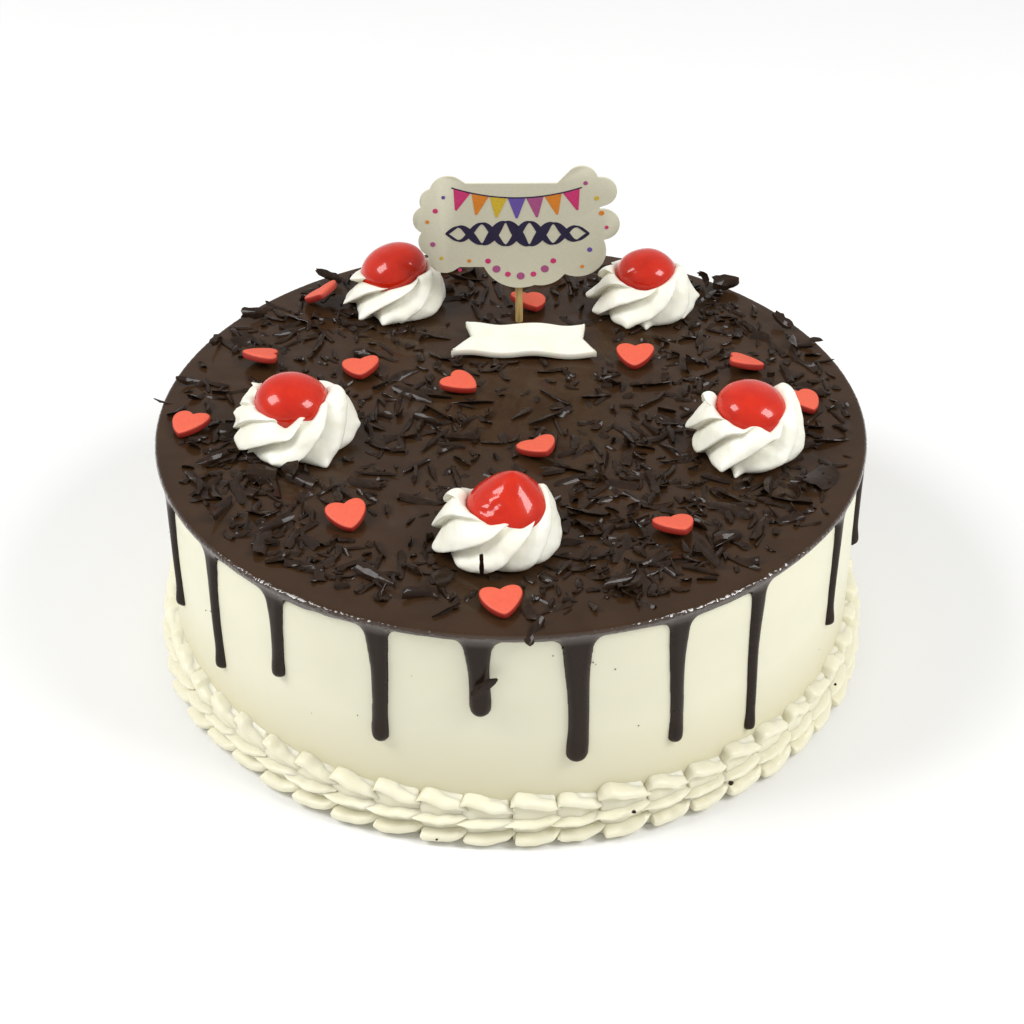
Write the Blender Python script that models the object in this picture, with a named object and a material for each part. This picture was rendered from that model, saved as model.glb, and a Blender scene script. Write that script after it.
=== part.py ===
"""A round chocolate drip cake, covered in cream, with a ganache top, piped cream and toppings.

Metres, +Z up. The origin is the centre of the cake's flat bottom, and -Y is the front.
"""

import math
import random

import bmesh
import bpy
from mathutils import Matrix, Vector

MM = 0.001
GAP = 0.3 * MM

# Cake and ganache
CAKE_RADIUS = 101.5 * MM
CAKE_HEIGHT = 68.7 * MM
CAKE_CHAMFER = 1.0 * MM
TOP_HEIGHT = 71.2 * MM
RIM_RADIUS = 103.0 * MM
LIP_DEPTH = 4.2 * MM
LIP_WAVE = 0.5 * MM
CAKE_SEGMENTS = 72

# Drips: angle round the cake in degrees, height of the tip and width, in millimetres
FRONT_DRIPS = (
    (-159.0, 30.7, 3.6),
    (-143.0, 27.6, 3.8),
    (-128.0, 39.6, 4.4),
    (-110.0, 30.2, 5.0),
    (-94.8, 43.6, 5.8),
    (-80.2, 26.9, 6.2),
    (-64.5, 26.2, 4.5),
    (-50.0, 18.4, 3.6),
    (-27.7, 30.9, 3.4),
    (-9.5, 37.0, 3.2),
)
BACK_DRIPS = 11
BACK_DRIP_START = 7.0
BACK_DRIP_STEP = 16.6
DRIP_THICKNESS = 1.6 * MM

# Shavings stuck in the ganache
SHAVING_COUNT = 116
SHAVING_LENGTH = (5.0 * MM, 12.5 * MM)
SHAVING_WIDTH = (1.3 * MM, 3.0 * MM)
SHAVING_HEIGHT = (0.8 * MM, 2.4 * MM)
SHAVING_SUNK = 0.5 * MM
SHAVING_FIELD = 95.0 * MM
BARE_FRONT_STRIP = 5.0 * MM

# Piped shells round the foot
SHELL_COUNT = 52
SHELL_HEIGHT = 16.4 * MM
SHELL_DEPTH = 6.0 * MM
SHELL_STEPS = (0.0, 0.35, 0.72, 0.97)

# Rosettes: name, x, y and outer radius in millimetres, and turn in degrees
ROSETTES = (
    ("left", -62.0, -10.3, 17.0, 10.0),
    ("right", 67.2, -16.0, 16.4, 35.0),
    ("front", -3.0, -62.0, 17.1, 0.0),
    ("back_left", -35.0, 66.3, 15.5, 22.0),
    ("back_right", 41.5, 64.0, 15.9, 5.0),
)
ROSETTE_PLEATS = 8
ROSETTE_SEGMENTS = 24

# Cherries: name, x, y, z and radius in millimetres, height against width, tilt in degrees, peak
CHERRIES = (
    ("left", -62.2, -10.8, 83.2, 10.7, 0.74, 4.0, 0.0),
    ("right", 68.6, -15.0, 83.0, 10.9, 0.76, 14.0, 0.0),
    ("front", -1.2, -61.9, 82.6, 10.9, 0.72, 0.0, 3.0),
    ("back_left", -36.6, 66.6, 83.2, 10.6, 0.72, -20.0, 0.0),
    ("back_right", 42.5, 64.5, 83.0, 9.4, 0.72, 0.0, 0.0),
)

# Hearts: x and y in millimetres, then in degrees the point's direction and fall and the sideways lean
HEART_WIDTH = 11.4 * MM
HEART_LENGTH = 10.6 * MM
HEART_THICKNESS = 2.2 * MM
HEART_POINTS = 12
HEARTS = (
    (-59.0, 64.5, -85.0, -19.0, 28.0),
    (-75.7, 29.3, -179.0, -7.0, 17.0),
    (-93.0, -6.8, -112.0, 6.0, 7.0),
    (-44.8, 23.8, -87.0, -1.0, 7.0),
    (-14.7, 15.3, -34.0, 4.0, -5.0),
    (8.2, -20.4, -67.0, -11.0, 5.0),
    (-44.3, -53.2, -74.0, 13.0, 4.0),
    (-2.4, -91.0, -82.0, 7.0, 1.0),
    (44.5, -58.9, -68.0, -13.0, -6.0),
    (37.6, 30.0, -94.0, 9.0, 2.0),
    (70.6, 24.7, -13.0, 10.0, -19.0),
    (85.5, 3.7, -65.0, 6.0, -13.0),
    (6.2, 62.2, -70.0, -1.0, -14.0),
)

# Ribbon plaque, in millimetres
PLAQUE_THICKNESS = 2.4 * MM
PLAQUE_EDGES = (
    (32.2, -18.0, 26.0),
    (40.6, -11.8, 22.0),
    (49.0, -13.8, 23.0),
)
PLAQUE_COLUMNS = 7
PLAQUE_WAVE = 0.5 * MM

# Topper: card scallops as x, z and radius in millimetres, and its stick
CARD_FACE_Y = 53.1 * MM
CARD_THICKNESS = 0.6 * MM
CARD_CENTRE = (2.0, 105.0)
CARD_SCALLOPS = (
    (-18.5, 116.4, 5.6),
    (-22.8, 113.5, 4.4),
    (-24.6, 107.4, 4.8),
    (-22.6, 100.0, 5.3),
    (-20.0, 94.3, 5.0),
    (2.8, 95.6, 11.6),
    (9.2, 93.8, 9.0),
    (20.6, 96.6, 8.7),
    (28.0, 105.7, 5.2),
    (27.3, 116.7, 4.8),
    (21.4, 120.2, 5.0),
)
CARD_PANEL = (-22.5, 27.0, 91.3, 119.6)
CARD_POINTS = 60
STICK_X = 2.7 * MM
STICK_RADIUS = 1.2 * MM
STICK_BURIED = 22.0 * MM
STICK_ABOVE = 33.0 * MM

LEAST_GAP_TO_TOPPING = 0.8 * MM


def clear_scene():
    for obj in list(bpy.data.objects):
        bpy.data.objects.remove(obj, do_unlink=True)


def make_material(name, colour, roughness, coat=0.0):
    material = bpy.data.materials.new(name)
    material.use_nodes = True
    shader = material.node_tree.nodes["Principled BSDF"]
    shader.inputs["Base Color"].default_value = (*colour, 1.0)
    shader.inputs["Roughness"].default_value = roughness
    shader.inputs["Metallic"].default_value = 0.0
    shader.inputs["Coat Weight"].default_value = coat
    return material


def add_object(name, bm, material, smooth_angle=None):
    """Turn a bmesh into a named object, smooth where its faces meet at less than an angle."""
    bmesh.ops.recalc_face_normals(bm, faces=bm.faces)
    mesh = bpy.data.meshes.new(name)
    bm.to_mesh(mesh)
    bm.free()
    mesh.materials.append(material)
    if smooth_angle is not None:
        mesh.shade_smooth()
        mesh.set_sharp_from_angle(angle=math.radians(smooth_angle))
    obj = bpy.data.objects.new(name, mesh)
    bpy.context.collection.objects.link(obj)
    return obj


def turned(profile, segments):
    """Turn a profile of radii and heights, from axis to axis, round +Z."""
    bm = bmesh.new()
    verts = [bm.verts.new((radius, 0.0, height)) for radius, height in profile]
    edges = [bm.edges.new(ends) for ends in zip(verts, verts[1:])]
    bmesh.ops.spin(
        bm,
        geom=verts + edges,
        cent=(0.0, 0.0, 0.0),
        axis=(0.0, 0.0, 1.0),
        angle=math.tau,
        steps=segments,
    )
    bmesh.ops.remove_doubles(bm, verts=bm.verts, dist=0.001 * MM)
    return bm


def skinned(rings, closed=False):
    """Join rings of equally many points into one surface, capped unless it closes on itself."""
    bm = bmesh.new()
    loops = [[bm.verts.new(point) for point in ring] for ring in rings]
    following = loops[1:] + loops[:1] if closed else loops[1:]
    for lower, upper in zip(loops, following):
        for i in range(len(lower)):
            j = (i + 1) % len(lower)
            bm.faces.new((lower[i], lower[j], upper[j], upper[i]))
    if not closed:
        bm.faces.new(loops[0])
        bm.faces.new(loops[-1])
    return bm


def polar(radius, angle, height):
    return Vector((radius * math.cos(angle), radius * math.sin(angle), height))


def mixed(low, high, share):
    return low + (high - low) * share


def hide_helper(obj):
    obj.hide_render = True
    obj.display_type = "WIRE"


def boolean(obj, operation, other):
    modifier = obj.modifiers.new(operation.title(), "BOOLEAN")
    modifier.operation = operation
    modifier.solver = "EXACT"
    if isinstance(other, bpy.types.Collection):
        modifier.operand_type = "COLLECTION"
        modifier.collection = other
    else:
        modifier.object = other
    return modifier


def join_pieces(obj, pieces):
    """Fuse loose pieces with an object by one Boolean union, then remove them."""
    group = bpy.data.collections.new(obj.name + "_pieces")
    bpy.context.scene.collection.children.link(group)
    for piece in pieces:
        group.objects.link(piece)
        bpy.context.collection.objects.unlink(piece)
    union = boolean(obj, "UNION", group)
    with bpy.context.temp_override(object=obj, active_object=obj, selected_objects=[obj]):
        bpy.ops.object.modifier_apply(modifier=union.name)
    for piece in pieces:
        bpy.data.objects.remove(piece, do_unlink=True)
    bpy.data.collections.remove(group)


def make_cake_body(material):
    profile = (
        (0.0, 0.0),
        (CAKE_RADIUS, 0.0),
        (CAKE_RADIUS, CAKE_HEIGHT - CAKE_CHAMFER),
        (CAKE_RADIUS - CAKE_CHAMFER, CAKE_HEIGHT),
        (0.0, CAKE_HEIGHT),
    )
    return add_object("cake_body", turned(profile, CAKE_SEGMENTS), material, 30.0)


def lip_drop(angle):
    """How far the ganache's lower edge hangs below or above its mean, round the cake."""
    return LIP_WAVE * (math.sin(5.0 * angle + 0.6) + 0.6 * math.sin(11.0 * angle))


def make_ganache_cap(material):
    """The poured top: a thin skin over the cake's top that turns down over its edge."""
    inner = CAKE_RADIUS + GAP
    lip = TOP_HEIGHT - LIP_DEPTH
    profile = (
        (0.0, CAKE_HEIGHT + GAP),
        (inner - CAKE_CHAMFER, CAKE_HEIGHT + GAP),
        (inner, CAKE_HEIGHT + GAP - CAKE_CHAMFER),
        (inner, lip),
        (RIM_RADIUS - 0.4 * MM, lip - 0.1 * MM),
        (RIM_RADIUS, lip + 1.1 * MM),
        (RIM_RADIUS - 0.9 * MM, TOP_HEIGHT - 0.4 * MM),
        (RIM_RADIUS - 2.6 * MM, TOP_HEIGHT),
        (0.0, TOP_HEIGHT),
    )
    bm = turned(profile, CAKE_SEGMENTS)
    for vert in bm.verts:
        if vert.co.z < lip + 0.5 * MM and vert.co.xy.length > inner - 0.1 * MM:
            vert.co.z -= lip_drop(math.atan2(vert.co.y, vert.co.x))
    return add_object("ganache", bm, material, 35.0)


def drip_ring(angle, height, half_width, thickness, inset):
    """One level section of a drip: flat at the back against the cake, rounded outside."""
    back = CAKE_RADIUS + GAP + inset
    ring = []
    for step in range(5):
        turn = math.pi * step / 4
        aside = half_width * math.cos(turn) / CAKE_RADIUS
        ring.append(polar(back + thickness * math.sin(turn), angle + aside, height))
    return ring


def make_drip(degrees, tip_mm, width_mm, material):
    angle = math.radians(degrees)
    tip = tip_mm * MM
    half = 0.5 * width_mm * MM
    thick = DRIP_THICKNESS
    neck = TOP_HEIGHT - LIP_DEPTH - 3.4 * MM
    middle = mixed(tip, neck, 0.4)
    rows = (
        (tip, 0.30 * half, 0.45 * thick, 0.0),
        (tip + 0.5 * half, 0.86 * half, 0.95 * thick, 0.0),
        (tip + 1.5 * half, 1.08 * half, 1.15 * thick, 0.0),
        (middle, 0.92 * half, 0.9 * thick, 0.0),
        (neck, 1.05 * half, 0.95 * thick, 0.0),
        (TOP_HEIGHT - LIP_DEPTH + 0.2 * MM, 1.5 * half, 0.9 * thick, 0.3 * MM),
        (TOP_HEIGHT - 2.2 * MM, 2.1 * half, 0.7 * MM, 0.5 * MM),
    )
    rings = [drip_ring(angle, *row) for row in rows]
    return add_object("drip", skinned(rings), material)


def make_drips(material, rng):
    drips = [make_drip(*row, material) for row in FRONT_DRIPS]
    for index in range(BACK_DRIPS):
        degrees = BACK_DRIP_START + BACK_DRIP_STEP * index + rng.uniform(-2.0, 2.0)
        drips.append(make_drip(degrees, rng.uniform(20.0, 46.0), rng.uniform(3.4, 6.0), material))
    return drips


def topping_circles():
    """Centre and radius of every topping that stands on the ganache."""
    circles = [(x * MM, y * MM, radius * MM * 1.06) for _, x, y, radius, _ in ROSETTES]
    circles += [(x * MM, y * MM, 0.56 * HEART_WIDTH) for x, y, *_ in HEARTS]
    circles.append((STICK_X, CARD_FACE_Y + 2.0 * MM, 3.0 * MM))
    front, back = PLAQUE_EDGES[0], PLAQUE_EDGES[-1]
    middle = 0.5 * (front[0] + back[0]) * MM
    circles += [(mixed(-13.0, 22.0, i / 3) * MM, middle, 11.5 * MM) for i in range(4)]
    return circles


def shaving_rings(x, y, heading, length, width, height, bend, lean):
    """Three sections of a leaning flake whose foot is sunk in the ganache."""
    along = Vector((math.cos(heading), math.sin(heading), 0.0))
    across = Vector((-along.y, along.x, 0.0))
    foot = TOP_HEIGHT - SHAVING_SUNK
    rings = []
    for share in (-0.5, 0.05, 0.5):
        taper = 1.0 - 1.1 * abs(share)
        centre = Vector((x, y, 0.0)) + along * (length * share)
        centre += across * (bend * (1.0 - 4.0 * share * share))
        half = across * (0.5 * width * taper)
        rise = height * (0.45 + 0.55 * taper)
        rings.append(
            (
                centre - half + Vector((0.0, 0.0, foot)),
                centre + half + Vector((0.0, 0.0, foot)),
                centre - half * lean + Vector((0.0, 0.0, TOP_HEIGHT + rise)),
            )
        )
    return rings


def bare_strip(x, y):
    """The ganache stays bare inside the rim, more so at the front and left."""
    towards = (-0.5 * x - 0.85 * y) / max(math.hypot(x, y), MM)
    return BARE_FRONT_STRIP * max(0.0, towards)


def make_shavings(material, rng):
    """Scatter flakes from the longest to the shortest, each clear of the rest and the toppings."""
    circles = topping_circles()
    shavings = []
    taken = []
    tries = 0
    while len(shavings) < SHAVING_COUNT and tries < 60 * SHAVING_COUNT:
        tries += 1
        share = 1.0 - len(shavings) / SHAVING_COUNT
        length = mixed(*SHAVING_LENGTH, share) * rng.uniform(0.9, 1.1)
        width = mixed(*SHAVING_WIDTH, rng.random())
        heading = rng.uniform(0.0, math.pi)
        radius = SHAVING_FIELD * math.sqrt(rng.random())
        angle = rng.uniform(-math.pi, math.pi)
        x, y = radius * math.cos(angle), radius * math.sin(angle)
        spots = []
        for step in (-0.5, -0.25, 0.0, 0.25, 0.5):
            spots.append((x + length * step * math.cos(heading), y + length * step * math.sin(heading)))
        reach = 0.5 * width + LEAST_GAP_TO_TOPPING
        if any(math.hypot(px, py) + bare_strip(px, py) > SHAVING_FIELD + 2.0 * MM for px, py in spots):
            continue
        if any(math.hypot(px - cx, py - cy) < r + reach for px, py in spots for cx, cy, r in circles):
            continue
        if any(math.hypot(px - qx, py - qy) < reach + q for px, py in spots for qx, qy, q in taken):
            continue
        taken += [(px, py, 0.5 * width) for px, py in spots]
        rings = shaving_rings(
            x,
            y,
            heading,
            length,
            width,
            rng.uniform(*SHAVING_HEIGHT),
            rng.uniform(-0.08, 0.08) * length,
            rng.uniform(-0.8, 0.8),
        )
        shavings.append(add_object("shaving", skinned(rings), material))
    return shavings


def make_ganache(material, rng):
    ganache = make_ganache_cap(material)
    join_pieces(ganache, make_drips(material, rng))
    join_pieces(ganache, make_shavings(material, rng))
    return ganache


def shell_section(share, tall, deep, tip):
    """Outward reach and height up one shell, at a share of the way across it.

    The start of a shell stands proud with three pleats; towards its end they close up and sink.
    """
    fall = 1.0 - 0.52 * share**1.3
    swing = 0.06 * share
    lift = tip * (1.0 - share) ** 2
    rows = (
        (0.62 * fall, 0.0),
        (0.95 * fall, 0.13 + 0.5 * swing),
        (0.66 * fall, 0.27 + swing),
        (1.00 * fall, 0.42 + swing),
        (0.62 * fall, 0.57 + 0.5 * swing),
        (0.74 * fall, 0.76 - swing),
        (0.10, 1.0 - 0.12 * share + lift),
    )
    return [(deep * out, tall * up) for out, up in rows]


def make_shell_border(material, rng):
    """Piped shells round the foot, each with a proud left edge over the tail of the last."""
    columns = []
    for index in range(SHELL_COUNT):
        tall = SHELL_HEIGHT * rng.uniform(0.94, 1.03)
        deep = SHELL_DEPTH * rng.uniform(0.88, 1.1)
        tip = rng.uniform(0.0, 0.06)
        shift = rng.uniform(-0.06, 0.06)
        for share in SHELL_STEPS:
            angle = math.tau * (index + share + shift * (1.0 - share)) / SHELL_COUNT
            columns.append((angle, shell_section(share, tall, deep, tip)))
    wall = (CAKE_RADIUS + GAP) / math.cos(math.pi / len(columns))
    rings = [[polar(wall, angle, 0.0) for angle, _ in columns]]
    for row in range(len(columns[0][1])):
        rings.append(
            [polar(wall + section[row][0], angle, section[row][1]) for angle, section in columns]
        )
    return add_object("shell_border", skinned(rings, closed=True), material, 40.0)


def pleat(turns):
    """A pleat's rise and fall over one turn: a steep side and a slow one, from -1 to 1."""
    turns %= 1.0
    return 1.0 - turns / 0.32 * 2.0 if turns < 0.32 else -1.0 + (turns - 0.32) / 0.68 * 2.0


def make_rosette(name, x_mm, y_mm, radius_mm, turn, material, rng):
    """A swirl of pleated cream, low and wide, whose lip holds a cherry."""
    radius = radius_mm * MM
    foot = TOP_HEIGHT + GAP
    lobes = [rng.uniform(0.92, 1.07) for _ in range(ROSETTE_PLEATS)]
    rows = (
        (0.60, 0.0, 0.05, 0.10),
        (0.79, 1.5, 0.10, 0.06),
        (0.90, 4.2, 0.12, 0.0),
        (0.84, 8.0, 0.11, -0.13),
        (0.74, 11.9, 0.06, -0.30),
        (0.54, 10.8, 0.02, -0.48),
        (0.38, 9.0, 0.0, -0.5),
    )
    rings = []
    for reach, height, depth, twist in rows:
        ring = []
        for step in range(ROSETTE_SEGMENTS):
            turns = step / ROSETTE_SEGMENTS
            wave = pleat(ROSETTE_PLEATS * turns + twist * 2.0)
            lobe = lobes[int(ROSETTE_PLEATS * turns) % ROSETTE_PLEATS]
            out = radius * reach * (1.0 + depth * wave) * mixed(1.0, lobe, min(1.0, depth * 9.0))
            rise = height * MM * (1.0 + 0.5 * depth * wave) * mixed(1.0, lobe, 0.5)
            ring.append(polar(out, math.tau * turns + math.radians(turn), rise))
        rings.append(ring)
    bm = skinned(rings)
    bmesh.ops.translate(bm, verts=bm.verts, vec=(x_mm * MM, y_mm * MM, foot))
    return add_object("rosette_" + name, bm, material, 50.0)


def cherry_shape(name, row, grow, material):
    """A candied cherry, wider than tall, tilted, with a torn peak if it has one."""
    x, y, z, radius, squat, tilt, peak = row
    bm = bmesh.new()
    bmesh.ops.create_uvsphere(bm, u_segments=12, v_segments=7, radius=1.0)
    reach = radius * MM + grow
    for vert in bm.verts:
        rise = max(0.0, vert.co.z) ** 5 * peak * MM
        vert.co = Vector((vert.co.x * reach, vert.co.y * reach, vert.co.z * reach * squat + rise))
    bm.transform(Matrix.Rotation(math.radians(tilt), 4, "Y"))
    bmesh.ops.translate(bm, verts=bm.verts, vec=(x * MM, y * MM, z * MM))
    return add_object(name, bm, material, 60.0)


def make_cherries(material):
    for name, *row in CHERRIES:
        cherry_shape("cherry_" + name, row, 0.0, material)
        pocket = cherry_shape("pocket_" + name, row, 1.5 * GAP, material)
        hide_helper(pocket)
        boolean(bpy.data.objects["rosette_" + name], "DIFFERENCE", pocket)


def heart_outline(points):
    """A plump heart with a shallow notch and a blunt point along +X, centred in its box."""
    outline = []
    for step in range(points):
        turn = math.tau * step / points
        ahead = 0.5 * math.cos(2.0 * turn) - math.cos(turn) - 0.375
        narrow = 1.17 - 0.89 * (0.5 + 0.5 * math.cos(turn)) ** 2
        side = math.copysign(abs(math.sin(turn)) ** 1.35, math.sin(turn)) * narrow
        outline.append(Vector((HEART_LENGTH * ahead / 2.25, 0.5 * HEART_WIDTH * side, 0.0)))
    return outline


def make_heart(index, x_mm, y_mm, heading, fall, lean, material):
    """A flat heart that rests on the ganache with its lowest edge."""
    outline = heart_outline(HEART_POINTS)
    rings = [
        [point * 0.94 for point in outline],
        [point + Vector((0.0, 0.0, 0.72 * HEART_THICKNESS)) for point in outline],
        [point * 0.88 + Vector((0.0, 0.0, HEART_THICKNESS)) for point in outline],
    ]
    bm = skinned(rings)
    bm.transform(Matrix.Rotation(math.radians(lean), 4, "X"))
    bm.transform(Matrix.Rotation(math.radians(fall), 4, "Y"))
    bm.transform(Matrix.Rotation(math.radians(heading), 4, "Z"))
    lowest = min(vert.co.z for vert in bm.verts)
    lift = TOP_HEIGHT + GAP - lowest
    bmesh.ops.translate(bm, verts=bm.verts, vec=(x_mm * MM, y_mm * MM, lift))
    return add_object(f"heart_{index + 1:02d}", bm, material, 40.0)


def make_plaque(material):
    """A thick ribbon with notched ends, a little wavy along its length."""
    bm = bmesh.new()
    rows = []
    for y_mm, left, right in PLAQUE_EDGES:
        row = []
        for column in range(PLAQUE_COLUMNS):
            share = column / (PLAQUE_COLUMNS - 1)
            height = TOP_HEIGHT + GAP + PLAQUE_WAVE * (1.0 + math.sin(2.2 * math.tau * share))
            y = (y_mm - 1.5 * share) * MM
            row.append(bm.verts.new((mixed(left, right, share) * MM, y, height)))
        rows.append(row)
    for front, back in zip(rows, rows[1:]):
        for i in range(PLAQUE_COLUMNS - 1):
            bm.faces.new((front[i], front[i + 1], back[i + 1], back[i]))
    plaque = add_object("plaque", bm, material)
    thicken = plaque.modifiers.new("Thickness", "SOLIDIFY")
    thicken.thickness = PLAQUE_THICKNESS
    thicken.offset = 1.0
    soften = plaque.modifiers.new("Soft edge", "BEVEL")
    soften.width = 0.6 * MM
    soften.segments = 1
    soften.angle_limit = math.radians(50.0)
    return plaque


def ray_to_circle(turn, centre_x, centre_z, radius):
    """How far a ray from the origin runs before it leaves a circle, or 0 if it misses."""
    along = centre_x * math.cos(turn) + centre_z * math.sin(turn)
    square = radius * radius - (centre_x**2 + centre_z**2 - along**2)
    return along + math.sqrt(square) if square > 0.0 else 0.0


def card_reach(turn):
    """The card's scalloped outline in millimetres from its centre, in one direction."""
    centre_x, centre_z = CARD_CENTRE
    left, right, low, high = CARD_PANEL
    side = (right if math.cos(turn) > 0.0 else left) - centre_x
    level = (high if math.sin(turn) > 0.0 else low) - centre_z
    reach = min(side / (math.cos(turn) or 1e-9), level / (math.sin(turn) or 1e-9))
    for x, z, radius in CARD_SCALLOPS:
        reach = max(reach, ray_to_circle(turn, x - centre_x, z - centre_z, radius))
    return reach


def make_topper_card(material):
    bm = bmesh.new()
    outline = []
    for step in range(CARD_POINTS):
        turn = math.tau * step / CARD_POINTS
        reach = card_reach(turn) * MM
        x = CARD_CENTRE[0] * MM + reach * math.cos(turn)
        z = CARD_CENTRE[1] * MM + reach * math.sin(turn)
        outline.append(bm.verts.new((x, CARD_FACE_Y, z)))
    bm.faces.new(outline)
    pushed = bmesh.ops.extrude_face_region(bm, geom=bm.faces[:])
    verts = [item for item in pushed["geom"] if isinstance(item, bmesh.types.BMVert)]
    bmesh.ops.translate(bm, verts=verts, vec=(0.0, CARD_THICKNESS, 0.0))
    return add_object("topper_card", bm, material)


def stick_shape(name, radius, low, high, material):
    bm = bmesh.new()
    bmesh.ops.create_cone(
        bm,
        cap_ends=True,
        segments=12,
        radius1=radius,
        radius2=radius,
        depth=high - low,
    )
    y = CARD_FACE_Y + CARD_THICKNESS + GAP + STICK_RADIUS
    bmesh.ops.translate(bm, verts=bm.verts, vec=(STICK_X, y, 0.5 * (low + high)))
    return add_object(name, bm, material, 30.0)


def make_topper_stick(material, pierced):
    """The stick behind the card, in a blind hole through the ganache into the cake."""
    low = TOP_HEIGHT - STICK_BURIED
    stick_shape("topper_stick", STICK_RADIUS, low, TOP_HEIGHT + STICK_ABOVE, material)
    hole = stick_shape("stick_hole", STICK_RADIUS + GAP, low - GAP, TOP_HEIGHT + 5.0 * MM, material)
    hide_helper(hole)
    for obj in pierced:
        boolean(obj, "DIFFERENCE", hole)


def main():
    clear_scene()
    rng = random.Random(11)
    cream = make_material("side_cream", (0.84, 0.80, 0.68), 0.55)
    piping = make_material("piped_cream", (0.88, 0.87, 0.78), 0.5)
    chocolate = make_material("dark_ganache", (0.045, 0.028, 0.022), 0.25, 0.4)
    fruit = make_material("candied_cherry", (0.62, 0.02, 0.012), 0.12, 0.8)
    sugar_red = make_material("sugar_heart", (0.85, 0.13, 0.08), 0.5)
    sugar_white = make_material("sugar_ribbon", (0.9, 0.89, 0.8), 0.35)
    card = make_material("printed_card", (0.6, 0.58, 0.45), 0.6)
    wood = make_material("stick_wood", (0.42, 0.28, 0.09), 0.7)

    body = make_cake_body(cream)
    ganache = make_ganache(chocolate, rng)
    make_shell_border(piping, rng)
    for row in ROSETTES:
        make_rosette(*row, piping, rng)
    make_cherries(fruit)
    for index, row in enumerate(HEARTS):
        make_heart(index, *row, sugar_red)
    make_plaque(sugar_white)
    make_topper_card(card)
    make_topper_stick(wood, (body, ganache))


main()
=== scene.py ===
import math
import random

import bmesh
import bpy
import numpy as np
from mathutils import Matrix, Vector


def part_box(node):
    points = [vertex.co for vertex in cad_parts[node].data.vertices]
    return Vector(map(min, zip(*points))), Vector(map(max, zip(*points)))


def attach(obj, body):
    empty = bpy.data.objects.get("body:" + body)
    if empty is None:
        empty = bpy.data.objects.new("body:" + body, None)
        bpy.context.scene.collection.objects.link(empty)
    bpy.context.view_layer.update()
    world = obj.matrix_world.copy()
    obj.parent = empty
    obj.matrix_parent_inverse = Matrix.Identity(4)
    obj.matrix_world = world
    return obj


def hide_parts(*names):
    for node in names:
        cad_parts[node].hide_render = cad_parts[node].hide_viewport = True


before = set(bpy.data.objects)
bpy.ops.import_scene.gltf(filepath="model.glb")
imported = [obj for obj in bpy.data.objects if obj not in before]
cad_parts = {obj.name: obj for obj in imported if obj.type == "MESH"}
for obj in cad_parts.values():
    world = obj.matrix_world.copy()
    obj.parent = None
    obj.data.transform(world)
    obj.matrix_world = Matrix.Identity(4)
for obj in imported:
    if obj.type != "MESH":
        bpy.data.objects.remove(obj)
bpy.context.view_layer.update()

bl_info = {
    "name": "Chocolate drip cake",
    "version": (1, 0, 0),
    "blender": (4, 5, 0),
    "location": "3D View > Sidebar > Drip cake",
    "description": "Cream coat, ganache with drips, shavings, piping and toppings of a round cake",
    "category": "Add Mesh",
}

MM = 0.001
CAKE_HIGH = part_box("cake_body")[1]
CARD_LOW, CARD_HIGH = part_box("topper_card")
STICK_LOW, STICK_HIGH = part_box("topper_stick")
ALL_ROUND = math.tau

# Drips: angle round the cake in degrees, height of the tip and width, in millimetres
FRONT_DRIPS = (
    (-159.0, 30.7, 3.6),
    (-143.0, 27.6, 3.8),
    (-128.0, 39.6, 4.4),
    (-110.0, 30.2, 5.0),
    (-94.8, 43.6, 5.8),
    (-80.2, 26.9, 6.2),
    (-64.5, 26.2, 4.5),
    (-50.0, 18.4, 3.6),
    (-27.7, 30.9, 3.4),
    (-9.5, 37.0, 3.2),
)
BACK_DRIPS = 11
BACK_DRIP_START = 7.0
BACK_DRIP_STEP = 16.6

# Rosettes: name, x, y and outer radius in millimetres, and turn in degrees
ROSETTES = (
    ("left", -62.0, -10.3, 17.0, 10.0),
    ("right", 67.2, -16.0, 16.4, 35.0),
    ("front", -3.0, -62.0, 17.1, 0.0),
    ("back_left", -35.0, 66.3, 15.5, 22.0),
    ("back_right", 41.5, 64.0, 15.9, 5.0),
)

# Spikes pulled out of a rosette: direction in degrees, height, length and width in millimetres
SPIKES = {
    "left": (
        (150.0, 12.6, 1.8, 1.3),
        (178.0, 8.6, 2.6, 1.5),
        (-163.0, 4.0, 1.6, 2.0),
        (-137.0, 1.2, 3.2, 0.9),
        (-108.0, 3.4, 1.4, 2.4),
        (-94.0, 0.8, 2.2, 1.8),
        (-62.0, 0.9, 3.0, 2.2),
        (-4.0, 5.4, 0.9, 1.2),
    ),
    "right": (
        (-106.0, 0.8, 3.6, 1.2),
        (-122.0, 3.0, 1.6, 2.0),
        (-58.0, 2.4, 1.0, 1.8),
        (172.0, 6.0, 0.8, 3.6),
    ),
    "front": (
        (-176.0, 6.4, 1.0, 3.2),
        (-164.0, 3.4, 1.2, 2.4),
        (-130.0, 3.0, 0.8, 2.4),
    ),
    "back_left": (
        (-160.0, 4.4, 1.8, 1.6),
        (-134.0, 3.0, 2.2, 1.4),
        (-108.0, 2.0, 2.2, 1.4),
        (-84.0, 1.2, 1.4, 1.6),
    ),
    "back_right": (
        (176.0, 5.4, 2.0, 1.8),
        (-158.0, 3.2, 1.8, 1.6),
        (-112.0, 2.2, 1.6, 1.6),
        (-88.0, 0.8, 2.6, 1.4),
        (-40.0, 2.6, 1.8, 1.8),
        (-8.0, 5.0, 1.6, 1.8),
    ),
}

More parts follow.
